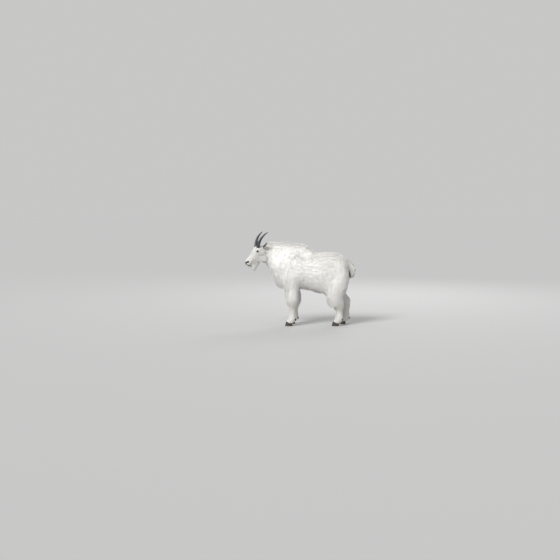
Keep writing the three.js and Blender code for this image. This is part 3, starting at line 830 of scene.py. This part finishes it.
inside_ear = on_ear & (ear_place(roots)[1] > 0.4)
bare = inside_ear | (nose_mark(roots) > 0.35) | (nose_mark(roots + LEAN_OF_NOSE_HAIR) > 0.5)
bare |= (lid_mark(roots) > 0.2) | (horn_base(roots) < -1.5) | (roots[:, 2] < CORONET_HAIR)
roots, normals, on_ear, ear_along = (v[~bare] for v in (roots, normals, on_ear, ear_along))
look = blended(roots)
depth, length = look[:, 0], look[:, 1]
on_head, on_leg, on_tail = look[:, 2] > 0.5, look[:, 3] > 0.5, look[:, 4] > 0.5
lie = look[:, 5:8]
tight = smooth_step(eye_distance(roots), 12, 42) * 0.6 + 0.4
tight *= np.interp(-straighten(roots)[:, 0], [600, 680], [1, 0.6])
length = np.where(on_head & ~on_ear, length * tight, length)
for side in (-1, 1):
    out = turn_head(ear_axes(side)[0] + NECK_PIVOT)[0] - NECK_PIVOT
    mine = on_ear & (np.sign(straighten(roots)[:, 1]) == side)
    lie[mine] = out
length[on_ear] = 12 - 7 * ear_along[on_ear]
depth[on_ear] = 3.0
print("locks", len(roots), "on ears", on_ear.sum(), "on head", on_head.sum(), "on legs", on_leg.sum())

# %% [markdown]
# ## From root to tip
# Every lock gets a root on the skin, a tip near the outline of the coat and a point between that bends it.
# Tips are pushed along the slope of the coat's own field, so the outermost ones together draw the true
# outline, and the others lie at random depths under it and fill the coat. Neighbouring tips are drawn
# together into pointed tufts.

# %% Bend the locks
def tips_of_coat(points, level, steps=3):
    outline = lambda p: field(p, 0)
    for _ in range(steps):
        g = slope(outline, points, 2.0)
        off = np.clip(outline(points) - level, -60, 60)
        points = points - g * (off / np.maximum((g * g).sum(1), 0.3))[:, None]
    return points


LOCKS_PER_TUFT, DEEPER_SHARE, SLANT = 11, 0.35, 0.86
count = len(roots)
flow = unit(lie)
turn = 0.26 * waves(roots, 55, 1) + 0.16 * waves(roots, 21, 4) + chance.normal(0, 0.09, count)
flow = unit(flow - normals * np.einsum("ij,ij->i", flow, normals)[:, None])
flow = unit(flow * np.cos(turn)[:, None] + np.cross(normals, flow) * np.sin(turn)[:, None])
size = chance.uniform(0.82, 1.12, count)
reach = length * size
seeds = chance.permutation(count)[:count // LOCKS_PER_TUFT]
tree = kdtree.KDTree(len(seeds))
for i, s in enumerate(seeds):
    tree.insert(roots[s], i)
tree.balance()
nearest = np.array([tree.find(p)[1] for p in roots.tolist()])
tuft = seeds[nearest]
long_hair = length > 60
under = smooth_step(-normals[:, 2], 0.1, 0.8) * long_hair + smooth_step(-roots[:, 2], -420, -280) * long_hair
under = np.clip(under + on_tail, 0, 1)
proud = chance.uniform(-0.10, 0.04, len(seeds))[nearest] + 0.03 * (1 + waves(roots, 34, 2))
proud += under * chance.uniform(-0.1, 0.25, len(seeds))[nearest]
deeper = chance.random(count) < DEEPER_SHARE
sunk = np.where(deeper, chance.uniform(0.12, 0.55, count), chance.uniform(0, 0.10, count))
level = -(sunk + proud) * depth
start = roots + flow * reach[:, None] * SLANT + normals * depth[:, None] * 0.9
tips = tips_of_coat(start, level)
off_ear = chance.uniform(1.2, 3.2, count)[:, None]
tips[on_ear] = (roots + flow * (reach * SLANT)[:, None] + normals * off_ear)[on_ear]
pull = np.where(on_ear, 0.2, np.interp(length, [8, 20, 60, 110], [0.12, 0.25, 0.42, 0.55]))
pull = np.clip(pull * chance.uniform(0.5, 1.3, len(seeds))[nearest] + 0.25 * under, 0, 0.85)
tips += (roots[tuft] + (tips - roots)[tuft] - tips) * pull[:, None]
run = tips - roots
far = np.linalg.norm(run, axis=1)
fit = np.clip(far, reach * 0.6, reach * 1.25) / np.maximum(far, 1e-3)
tips = roots + run * fit[:, None]
bend = roots + normals * (depth * 0.62)[:, None] + (tips - roots) * 0.38
bend += np.cross(normals, flow) * (chance.normal(0, 0.06, count) * reach)[:, None]
sag = np.clip((length - 30) / 90, 0, 1) * reach * 0.10
tips[:, 2] -= np.where(on_head | on_ear, 0, sag)
floor_of_hair = np.where(on_leg, 34, 60)
tips[:, 2] = np.maximum(tips[:, 2], floor_of_hair)
wide = np.interp(length, LENGTH_STEPS, [1.0, 1.4, 1.8, 2.5, 4.2, 5.0])
wide = wide * chance.uniform(0.75, 1.25, count)
tone = 0.6 + 0.10 * waves(roots, 90, 7) + chance.normal(0, 0.07, len(seeds))[nearest]
tone = np.clip(tone + chance.normal(0, 0.13, count), 0, 1)
cover = unit(slope(lambda p: field(p, 0), tips, 22.0))
cover[:, 2] = np.maximum(cover[:, 2], -0.4)
cover = np.where(on_ear[:, None], normals, unit(cover))
# Locks under the tail are made near black: painted shadow of the tail, not dark hair.
tail_shadow_lock = tail_shadow_and_bare_skin((tips + bend) / 2)
print("mean reach mm", round(float(np.linalg.norm(tips - roots, axis=1).mean()), 1))

# %% [markdown]
# ## The beard
# The beard is a tassel of long hair with no flesh in it. Its locks leave the underside of the chin and the
# jaw and run down together to one point, a little behind the chin. No flesh under it tells where they go,
# so they are laid out here on their own.

# %% Beard locks
BEARD_WIDTH, BEARD_MIDDLE, BEARD_END = 3.0, -571.0, 657.0
CHIN_FRONT, CHIN_BACK = -617, -506


def beard_locks(amount=2300):
    straight = straighten(skin_points)
    outward = slope(skin_field, skin_points)
    x, y, z = straight.T
    on_chin = (x > CHIN_FRONT) & (x < CHIN_BACK) & (np.abs(y) < 26) & (z < 800)
    picked = chance.choice(np.flatnonzero(on_chin & (outward[:, 2] < -0.15)), amount)
    start = straight[picked] + chance.normal(0, 1.2, (amount, 3))
    along = np.clip((CHIN_BACK - start[:, 0]) / 112, 0, 1)
    long = np.interp(along, [0, 0.25, 0.55, 0.8, 1], [0.5, 0.85, 1.0, 0.9, 0.45])
    long = long * chance.uniform(0.55, 1, amount)
    off_middle = start[:, 0] - BEARD_MIDDLE
    ends = np.stack([BEARD_MIDDLE + off_middle * 0.22, start[:, 1] * 0.25, np.full(amount, BEARD_END)], 1)
    ends += chance.normal(0, 3.5, (amount, 3)) * [1.6, 1.2, 0]
    end = start + (ends - start) * long[:, None]
    bow = start + (end - start) * 0.45
    bow += np.stack([np.full(amount, 3.0), start[:, 1] * 0.35, np.full(amount, -5.0)], 1)
    away = unit(np.stack([off_middle / 45, start[:, 1] / 12, np.zeros(amount)], 1)) * 0.9
    away = turn_head(away + NECK_PIVOT) - NECK_PIVOT
    return [turn_head(p) for p in (start, bow, end)], unit(away + outward[picked] * 0.2)


(beard_root, beard_bend, beard_tip), beard_normal = beard_locks()
beard_count = len(beard_root)
print("beard locks", beard_count)

# %% [markdown]
# ## Grow the locks with Geometry Nodes
# One tree makes every lock of the coat. It puts a slim three-sided cone on each root point, makes the
# copies real, and bends each along the curve from root through bend to tip, narrowing it towards the end.
# A lock has ten triangles, since there are more than a hundred thousand. The tree also gives each lock its
# small patch of the coat's texture map at the place of its root.

# %% The tree that grows locks
STORE = "GeometryNodeStoreNamedAttribute"


def lock_tree():
    tree = bpy.data.node_groups.new("grow_locks", "GeometryNodeTree")
    tree.interface.new_socket("Geometry", in_out="INPUT", socket_type="NodeSocketGeometry")
    sizes = (("Lock sides", "Int", 3), ("Lock segments", "Int", 2), ("Width", "Float", 1.0),
             ("Flatness", "Float", 0.32), ("Map patch", "Float", 0.003))
    for name, kind, default in sizes:
        socket = tree.interface.new_socket(name, in_out="INPUT", socket_type="NodeSocket" + kind)
        socket.default_value = default
    tree.interface.new_socket("Material", in_out="INPUT", socket_type="NodeSocketMaterial")
    tree.interface.new_socket("Geometry", in_out="OUTPUT", socket_type="NodeSocketGeometry")
    given = add(tree, "NodeGroupInput", out=None)

    # One cone on each root
    cone = add(tree, "GeometryNodeMeshCone", {"Vertices": given["Lock sides"], "Radius Top": 0.0,
                                              "Side Segments": given["Lock segments"],
                                              "Radius Bottom": 1.0, "Depth": 1.0})
    place = add(tree, "GeometryNodeInputPosition")
    kept = add(tree, STORE, {"Geometry": cone, "Name": "lock", "Value": place}, data_type="FLOAT_VECTOR")
    copies = add(tree, "GeometryNodeInstanceOnPoints", {"Points": given["Geometry"], "Instance": kept})
    real = add(tree, "GeometryNodeRealizeInstances", {"Geometry": copies})
    read = {name: add(tree, "GeometryNodeInputNamedAttribute", {"Name": name}, data_type="FLOAT_VECTOR")
            for name in ("lock", "root", "bend", "tip", "stand", "cover", "root_uv")}
    wide = add(tree, "GeometryNodeInputNamedAttribute", {"Name": "wide"}, data_type="FLOAT")

    # The spine of the lock, a curve from root to tip, and its two cross directions
    turned = add(tree, "ShaderNodeVectorRotate", {"Vector": read["lock"], "Angle": math.radians(90)},
                 rotation_type="Z_AXIS")
    x, y, t = add(tree, "ShaderNodeSeparateXYZ", [turned], out=None)
    lower = add(tree, MIX, {0: t, 4: read["root"], 5: read["bend"]}, out=1, data_type="VECTOR")
    upper = add(tree, MIX, {0: t, 4: read["bend"], 5: read["tip"]}, out=1, data_type="VECTOR")
    spine = add(tree, MIX, {0: t, 4: lower, 5: upper}, out=1, data_type="VECTOR")
    ahead = add(tree, VECTOR, [upper, lower], operation="SUBTRACT")
    ahead = add(tree, VECTOR, [ahead], operation="NORMALIZE")
    sideways = add(tree, VECTOR, [read["stand"], ahead], operation="CROSS_PRODUCT")
    sideways = add(tree, VECTOR, [sideways], operation="NORMALIZE")
    lifted = add(tree, VECTOR, [ahead, sideways], operation="CROSS_PRODUCT")

    # Its thickness, fullest a little above the root
    fuller = add(tree, MATHS, [t, 1.6, 0.75], operation="MULTIPLY_ADD")
    thick = add(tree, MATHS, [add(tree, MATHS, [fuller, wide], operation="MULTIPLY"), given["Width"]],
                operation="MULTIPLY")
    flat = add(tree, MATHS, [thick, given["Flatness"]], operation="MULTIPLY")
    across = add(tree, MATHS, [x, thick], operation="MULTIPLY")
    across = add(tree, VECTOR, {"Vector": sideways, "Scale": across}, operation="SCALE")
    up = add(tree, VECTOR, {"Vector": lifted, "Scale": add(tree, MATHS, [y, flat], operation="MULTIPLY")},
             operation="SCALE")
    away = add(tree, VECTOR, [across, up], operation="ADD")
    where = add(tree, VECTOR, [spine, away], operation="ADD")
    bent = add(tree, "GeometryNodeSetPosition", {"Geometry": real, "Position": where})

    # Its patch of the map, and the marks that the material and the normals read
    spot = add(tree, VECTOR, [turned, (0.35, 0.15, 0.0), (0.0, -0.5, 0.0)], operation="MULTIPLY_ADD")
    run = add(tree, VECTOR, {"Vector": (0.1, 1.0, 0.0), "Scale": t}, operation="SCALE")
    spot = add(tree, VECTOR, [spot, run], operation="ADD")
    patch = add(tree, VECTOR, [spot, given["Map patch"], read["root_uv"]], operation="MULTIPLY_ADD")
    mapped = add(tree, STORE, {"Geometry": bent, "Name": "OFBake", "Value": patch}, data_type="FLOAT2",
                 domain="CORNER")
    graded = add(tree, STORE, {"Geometry": mapped, "Name": "along", "Value": t}, data_type="FLOAT")
    round_out = add(tree, VECTOR, [away], operation="NORMALIZE")
    facing = add(tree, MIX, {0: t, 4: read["stand"], 5: read["cover"]}, out=1, data_type="VECTOR")
    facing = add(tree, VECTOR, [round_out, (0.35, 0.35, 0.35), facing], operation="MULTIPLY_ADD")
    faced = add(tree, STORE, {"Geometry": graded, "Name": "facing", "Value": facing},
                data_type="FLOAT_VECTOR")
    smooth = add(tree, "GeometryNodeSetShadeSmooth", {"Geometry": faced})
    painted = add(tree, "GeometryNodeSetMaterial", {"Geometry": smooth, "Material": given["Material"]})
    add(tree, "NodeGroupOutput", {"Geometry": painted}, out=None)
    return tree


grow_locks = lock_tree()
print("tree", grow_locks.name, len(grow_locks.nodes), "nodes")

# %% [markdown]
# ## The finish of the hair
# Winter guard hair is hollow keratin, about 0.1 mm thick. The air in its core scatters light, so it looks
# milky and soft, never shiny. One hair is far too fine to show here, so a lock of about 4 mm stands for
# many. The colour could come from a picture, but a few marks on each lock do better: how far along the
# hair a point is and how deep the coat is there, which darken the roots of deep hair towards cream as
# painted shade inside the coat, partly the hair's own cream tone; the lock's own tone; stains; and a near
# black painted shadow under the tail.

# %% Winter guard hair
def new_material(name):
    material = bpy.data.materials.new(name)
    material.use_nodes = True
    return material, material.node_tree, material.node_tree.nodes["Principled BSDF"]


def guard_hair():
    material, tree, shader = new_material("winter_guard_hair")
    along, deep, tone, stain, dark = (add(tree, MARK, attribute_name=name, out="Fac")
                                      for name in ("along", "deep", "tone", "stain", "dark"))
    # Painted shade: roots of deep hair are drawn darker and creamier, standing in for the shade inside a
    # deep coat, partly the hair's own cream tone.
    from_tip = add(tree, MATHS, [1.0, along], operation="SUBTRACT")
    root_depth_shade = add(tree, MATHS, [from_tip, deep], operation="MULTIPLY")
    base = add(tree, RAMP, [root_depth_shade],
               stops=[(0.2, colour("#FCFBF8")), (0.6, colour("#F8F6F0")), (1.0, colour("#EDE8DD"))])
    dull = add(tree, RAMP, [tone], stops=[(0.0, colour("#F3F0E8")), (0.6, colour("#FFFFFF"))])
    base = add(tree, MIX, {0: 1.0, 6: base, 7: dull}, out=2, data_type="RGBA", blend_type="MULTIPLY")
    base = add(tree, MIX, {0: stain, 6: base, 7: colour("#F1EADB")}, out=2, data_type="RGBA",
               blend_type="MULTIPLY")
    # Painted shadow: locks under the tail turn near black.
    base = add(tree, MIX, {0: dark, 6: base, 7: colour("#1E1A18")}, out=2, data_type="RGBA")
    fill(tree, shader, {"Base Color": base, "Roughness": 0.7, "Specular IOR Level": 0.25,
                        "Sheen Weight": 0.15, "Sheen Roughness": 0.5})
    return material


hair = guard_hair()
print("finish", hair.name)

# %% [markdown]
# ## Coat pieces and their maps
# The coat is divided like a butcher's chart, so that no piece gets too heavy. Each piece has an axis, and
# the map of its roots is that part of the skin unrolled round the axis: one direction runs along it and
# the other one round it. The two ears are one piece and lie side by side in its map.

# %% Divide the coat
def unrolled(points, start, end):
    start, end = np.array(start, float), np.array(end, float)
    axis = (end - start) / np.linalg.norm(end - start)
    first = np.cross(axis, [0, 1, 0])
    first /= np.linalg.norm(first)
    second = np.cross(axis, first)
    q = points - start
    return q @ axis, np.arctan2(q @ second, q @ first)


def spread(values):
    low, high = values.min(), values.max()
    return (values - low) / max(high - low, 1e-6)


def leg_axis(end, side):
    x, stride = (-100, FRONT_STRIDE) if end == "front" else (440, HIND_STRIDE)
    x += stride if side > 0 else 0
    return (x, side * LEG_SPREAD, 480), (x, side * LEG_SPREAD, 20)


def ear_axis(side):
    foot = mirrored(EAR_ROOT, side)
    return turn_head(foot)[0], turn_head(foot + ear_axes(side)[0] * 100)[0]


MID_BODY = 180
trunk_axis = ((-420, 0, 790), (620, 0, 640))
x, y = roots[:, 0], roots[:, 1]
free = ~(on_head | on_leg | on_tail | on_ear)
head_axis = (turn_head([-700, 0, 760])[0], turn_head([-420, 0, 900])[0])
pieces = {"coat_head": [(on_head & ~on_ear, head_axis)]}
pieces["coat_ears"] = [(on_ear & (np.sign(straighten(roots)[:, 1]) == s), ear_axis(s)) for s in (-1, 1)]
pieces["coat_tail"] = [(on_tail, ((590, 0, 780), (620, 0, 590)))]
for end, there in (("front", x < MID_BODY), ("hind", x >= MID_BODY)):
    for name, side in SIDES:
        pieces[f"coat_leg_{end}_{name}"] = [(on_leg & there & (np.sign(y) == side), leg_axis(end, side))]
trunk_parts = (("neck", -900, -200), ("shoulder", -200, 40), ("flank", 40, 300), ("rump", 300, 900))
for name, side in SIDES:
    for part, low, high in trunk_parts:
        pieces[f"coat_{part}_{name}"] = [(free & (np.sign(y) == side) & (x >= low) & (x < high), trunk_axis)]

# %% Grow each piece
def grow(name, locks, place):
    points = bpy.data.meshes.new(name)
    points.from_pydata(locks["root"].tolist(), [], [])
    mark_points(points, {**locks, "root_uv": np.c_[place, np.zeros(len(place))]})
    holder = in_scene(name + "_roots", points)
    modifier = holder.modifiers.new("locks", "NODES")
    modifier.node_group = grow_locks
    sockets = {item.name: item.identifier for item in grow_locks.interface.items_tree
               if item.in_out == "INPUT"}
    modifier[sockets["Material"]] = hair
    evaluated = holder.evaluated_get(bpy.context.evaluated_depsgraph_get())
    mesh = bpy.data.meshes.new_from_object(evaluated)
    mesh.name = name
    bpy.data.objects.remove(holder)
    facing = np.zeros(len(mesh.vertices) * 3)
    mesh.attributes["facing"].data.foreach_get("vector", facing)
    mesh.normals_split_custom_set_from_vertices(unit(facing.reshape(-1, 3)))
    for key in ("root", "bend", "tip", "stand", "cover", "root_uv", "wide", "lock", "facing"):
        if key in mesh.attributes:
            mesh.attributes.remove(mesh.attributes[key])
    piece = in_scene(name, mesh)
    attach(piece, "root")
    triangle_count = sum(len(p.vertices) - 2 for p in mesh.polygons)
    print(name, len(place), "locks", triangle_count, "triangles")
    return piece, triangle_count


# dark carries the painted shadow under the tail into the hair; deep sets the painted shade of the roots.
coat = dict(root=roots / 1000, bend=bend / 1000, tip=tips / 1000, stand=normals, cover=cover,
            wide=wide / 2000, tone=tone, deep=np.interp(length, [10, 60], [0.12, 1]), dark=tail_shadow_lock,
            stain=stain_mark(roots))
total = 0
for name, parts in pieces.items():
    maps = np.zeros((count, 2))
    taken = np.zeros(count, bool)
    for k, (mask, axis) in enumerate(parts):
        along, round_it = unrolled(roots[mask], *axis)
        maps[mask, 0] = 0.01 + 0.98 * spread(along)
        maps[mask, 1] = (k + 0.02 + 0.96 * spread(round_it)) / len(parts)
        taken |= mask
    locks = {mark: values[taken] for mark, values in coat.items()}
    total += grow(name, locks, np.clip(maps[taken], 0.004, 0.996))[1]
along, round_it = unrolled(beard_root, *head_axis)
beard_map = np.c_[0.01 + 0.98 * spread(along), 0.01 + 0.98 * spread(round_it)]
same = np.ones(beard_count)
locks = dict(root=beard_root / 1000, bend=beard_bend / 1000, tip=beard_tip / 1000, stand=beard_normal,
             cover=beard_normal, wide=BEARD_WIDTH / 2000 * same,
             tone=np.clip(chance.normal(0.6, 0.13, beard_count), 0, 1), deep=0.6 * same, dark=0 * same,
             stain=stain_mark(beard_root))
beard, triangle_count = grow("coat_beard", locks, beard_map)
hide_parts("beard")
print("coat triangles", total + triangle_count)

# %% [markdown]
# ## Hide, nose pad and lids
# Between the locks a little of the hide shows, with its short woolly underfur: a matt pale surface. The
# wool is far finer than the pattern here, which is drawn as coarse as it needs to show. The nose pad and
# the lips are bare, black and moist, and covered with small flat pebbles. One material serves the whole
# skin, since it is one piece, and the marks stored on the skin say where it changes. The lids are bare
# black skin with fine creases.

# %% Short-haired hide and bare black skin
UNDERFUR_MM, PEBBLE_MM, LID_CREASE_MM = 2.4, 1.8, 1.4


def hide():
    material, tree, shader = new_material("short_coated_hide")
    place = add(tree, "ShaderNodeTexCoord", out="Object")
    dark, stain, inner = (add(tree, MARK, attribute_name=name, out="Fac")
                          for name in ("dark", "stain", "inner_ear"))
    fine = add(tree, NOISE, {"Vector": place, "Scale": 1000 / UNDERFUR_MM, "Detail": 2.0})
    base = add(tree, RAMP, [fine], stops=[(0.25, colour("#E2DCD0")), (0.75, colour("#F3F0E9"))])
    base = add(tree, MIX, {0: stain, 6: base, 7: colour("#F1EADB")}, out=2, data_type="RGBA",
               blend_type="MULTIPLY")
    # Painted shade in each ear's hollow: dark grey over the bare inner skin.
    base = add(tree, MIX, {0: inner, 6: base, 7: colour("#57504C")}, out=2, data_type="RGBA")
    pebble = add(tree, "ShaderNodeTexVoronoi", {"Vector": place, "Scale": 1000 / PEBBLE_MM})
    leather = add(tree, RAMP, [pebble], stops=[(0.0, colour("#191717")), (0.6, colour("#0C0B0B"))])
    # Bare black skin of nose, lips and lids, and the painted shadow under the tail, get the pebbled leather
    # colour.
    base = add(tree, MIX, {0: dark, 6: base, 7: leather}, out=2, data_type="RGBA")
    rough = add(tree, MATHS, [dark, -0.36, 0.82], operation="MULTIPLY_ADD")
    relief = add(tree, MIX, {0: dark, 2: fine, 3: pebble})
    bump = add(tree, BUMP, {"Height": relief, "Strength": 0.5, "Distance": 0.0008})
    fill(tree, shader, {"Base Color": base, "Roughness": rough, "Normal": bump})
    return material


def lid_skin():
    material, tree, shader = new_material("black_lid_skin")
    place = add(tree, "ShaderNodeTexCoord", out="Object")
    fine = add(tree, NOISE, {"Vector": place, "Scale": 1000 / LID_CREASE_MM, "Detail": 3.0})
    base = add(tree, RAMP, [fine], stops=[(0.3, colour("#0F0D0C")), (0.7, colour("#211D1B"))])
    bump = add(tree, BUMP, {"Height": fine, "Strength": 0.4, "Distance": 0.0004})
    fill(tree, shader, {"Base Color": base, "Roughness": 0.42, "Normal": bump})
    return material


def dress(piece, material):
    piece.data.materials.clear()
    piece.data.materials.append(material)


dress(skin, hide())
lid_material = lid_skin()
for lid in lids:
    dress(lid, lid_material)
print("skin and lids finished")

# %% [markdown]
# ## Wet eye
# The eye is covered by a clear wet cornea, so it has a sharp bright gloss over a dark ground. The pupil is
# a flat bar, the iris a dark amber that fades to black at its edge. Both are drawn from the coordinates
# stored on the ball, so they stay in place however the head is turned.

# %% Cornea, iris and pupil
def wet_eye():
    material, tree, shader = new_material("wet_eye")
    gaze = add(tree, MARK, attribute_name="gaze", out="Vector")
    on_iris = add(tree, VECTOR, [gaze, (1.0, 1.0, 0.0)], operation="MULTIPLY")
    radius = add(tree, VECTOR, [on_iris], operation="LENGTH", out="Value")
    fibre = add(tree, NOISE, {"Vector": gaze, "Scale": 14.0, "Detail": 4.0})
    uneven = add(tree, MATHS, [fibre, 0.25, radius], operation="MULTIPLY_ADD")
    iris = add(tree, RAMP, [uneven],
               stops=[(0.25, colour("#3A2412")), (0.62, colour("#1C110A")), (0.8, colour("#0A0706"))])
    bar = add(tree, VECTOR, [gaze, (0.45, 1.0, 0.0)], operation="MULTIPLY")
    bar = add(tree, VECTOR, [bar], operation="LENGTH", out="Value")
    pupil = add(tree, RAMP, [bar], stops=[(0.19, (1, 1, 1, 1)), (0.23, (0, 0, 0, 1))])
    base = add(tree, MIX, {0: pupil, 6: iris, 7: colour("#050404")}, out=2, data_type="RGBA")
    fill(tree, shader, {"Base Color": base, "Roughness": 0.05, "IOR": 1.34})
    return material


eye_material = wet_eye()
for ball in eyes:
    dress(ball, eye_material)
print("eyes finished")

# %% [markdown]
# ## Horn and hoof
# Both are keratin that grows in layers. The horn sheath is black and worn to a satin shine, with fibres
# along it, drawn wider than they are so that they show, and growth bands across it. The hoof wall is
# duller and browner, with close rings parallel to the coronet, and scuffed. Each piece carries its own
# coordinates in millimetres, so a band of noise can be stretched along or across the growth with one
# Mapping node.

# %% Keratin of horns and hooves
FIBRE_WIDE_MM, FIBRE_LONG_MM, BAND_MM = 2.5, 20.0, 6.0
HOOF_RING_MM, SCUFF_MM = 2.4, 9.0


def black_keratin():
    material, tree, shader = new_material("black_horn_keratin")
    wrap = add(tree, MARK, attribute_name="wrap", out="Vector")
    fine = (1 / FIBRE_WIDE_MM, 1 / FIBRE_WIDE_MM, 1 / FIBRE_LONG_MM)
    fibres = add(tree, "ShaderNodeMapping", {"Vector": wrap, "Scale": fine})
    fibres = add(tree, NOISE, {"Vector": fibres, "Scale": 1.0, "Detail": 5.0, "Roughness": 0.6})
    bands = add(tree, "ShaderNodeMapping", {"Vector": wrap, "Scale": (1 / 60, 1 / 60, 1 / BAND_MM)})
    bands = add(tree, NOISE, {"Vector": bands, "Scale": 1.0, "Detail": 3.0})
    both = add(tree, MATHS, [add(tree, MATHS, [bands, fibres], operation="ADD"), 0.5], operation="MULTIPLY")
    base = add(tree, RAMP, [both],
               stops=[(0.35, colour("#202124")), (0.52, colour("#3A3D42")), (0.7, colour("#65676B"))])
    rough = add(tree, MATHS, [fibres, 0.3, 0.28], operation="MULTIPLY_ADD")
    bump = add(tree, BUMP, {"Height": both, "Strength": 0.35, "Distance": 0.001})
    fill(tree, shader, {"Base Color": base, "Roughness": rough, "Normal": bump})
    return material


def hoof_keratin():
    material, tree, shader = new_material("hoof_keratin")
    wall = add(tree, MARK, attribute_name="wall", out="Vector")
    rings = add(tree, "ShaderNodeMapping", {"Vector": wall, "Scale": (1 / 35, 1 / 35, 1 / HOOF_RING_MM)})
    rings = add(tree, NOISE, {"Vector": rings, "Scale": 1.0, "Detail": 3.0})
    scuffs = add(tree, NOISE, {"Vector": wall, "Scale": 1 / SCUFF_MM, "Detail": 4.0})
    both = add(tree, MATHS, [add(tree, MATHS, [rings, scuffs], operation="ADD"), 0.5], operation="MULTIPLY")
    base = add(tree, RAMP, [both],
               stops=[(0.35, colour("#1E1B19")), (0.52, colour("#3A3531")), (0.7, colour("#6B6258"))])
    rough = add(tree, MATHS, [scuffs, 0.25, 0.42], operation="MULTIPLY_ADD")
    bump = add(tree, BUMP, {"Height": rings, "Strength": 0.5, "Distance": 0.0006})
    fill(tree, shader, {"Base Color": base, "Roughness": rough, "Normal": bump})
    return material


for group, material in ((horns, black_keratin()), (hooves, hoof_keratin())):
    for piece in group:
        dress(piece, material)
print("materials", len(bpy.data.materials))

# %% [markdown]
# ## Floor, light and camera
# A plain matt floor and soft light, as in a studio. The floor is a little darker than the white coat, so
# that the animal stands out. The key light is a soft sun from the upper left in front, the pale room fills
# the shadows, and one lamp behind draws the edge of the fur. The camera stands twelve metres away on the
# animal's left, a little above the middle of its body.

# %% Floor and lamps
FLOOR_GRAIN_MM = 6.0


def soft_lamp(name, place, target, size, power):
    lamp = bpy.data.lights.new(name, "AREA")
    lamp.shape, lamp.size, lamp.energy = "DISK", size, power
    holder = in_scene(name, lamp)
    holder.location = place
    holder.rotation_euler = (Vector(target) - Vector(place)).to_track_quat("-Z", "Y").to_euler()


def studio_floor():
    material, tree, shader = new_material("matt_studio_floor")
    place = add(tree, "ShaderNodeTexCoord", out="Object")
    grain = add(tree, NOISE, {"Vector": place, "Scale": 1000 / FLOOR_GRAIN_MM, "Detail": 2.0})
    base = add(tree, RAMP, [grain], stops=[(0.3, colour("#BCBCBC")), (0.7, colour("#BEBEBE"))])
    fill(tree, shader, {"Base Color": base, "Roughness": 0.9})
    return material


floor_mesh = bpy.data.meshes.new("studio_floor")
floor_mesh.from_pydata([(-60, -60, 0), (60, -60, 0), (60, 60, 0), (-60, 60, 0)], [], [(0, 1, 2, 3)])
floor = in_scene("studio_floor", floor_mesh)
dress(floor, studio_floor())
sun = bpy.data.lights.new("key_sun", "SUN")
sun.energy, sun.angle = 2.55, math.radians(24)
in_scene("key_sun", sun).rotation_euler = Vector((0.45, 0.62, -0.64)).to_track_quat("-Z", "Y").to_euler()
soft_lamp("edge_lamp", (1.5, 4.5, 4.0), (0, 0, 0.7), 2.4, 70)
world = bpy.data.worlds.new("studio")
world.use_nodes = True
fill(world.node_tree, world.node_tree.nodes["Background"], {"Color": colour("#E4E4E3"), "Strength": 0.74})
bpy.context.scene.world = world
bpy.context.scene.view_settings.view_transform = "Standard"

# %% Camera
AIM = Vector((0, 0, 0.55))
RISE, DISTANCE = math.radians(5), 12.0
camera_data = bpy.data.cameras.new("camera")
camera_data.lens, camera_data.sensor_width, camera_data.shift_x = 63.2, 36.0, -0.0368
camera_data.clip_end = 200
camera = in_scene("camera", camera_data)
camera.location = AIM + Vector((0, -math.cos(RISE), math.sin(RISE))) * DISTANCE
camera.rotation_euler = (AIM - camera.location).to_track_quat("-Z", "Y").to_euler()
bpy.context.scene.camera = camera
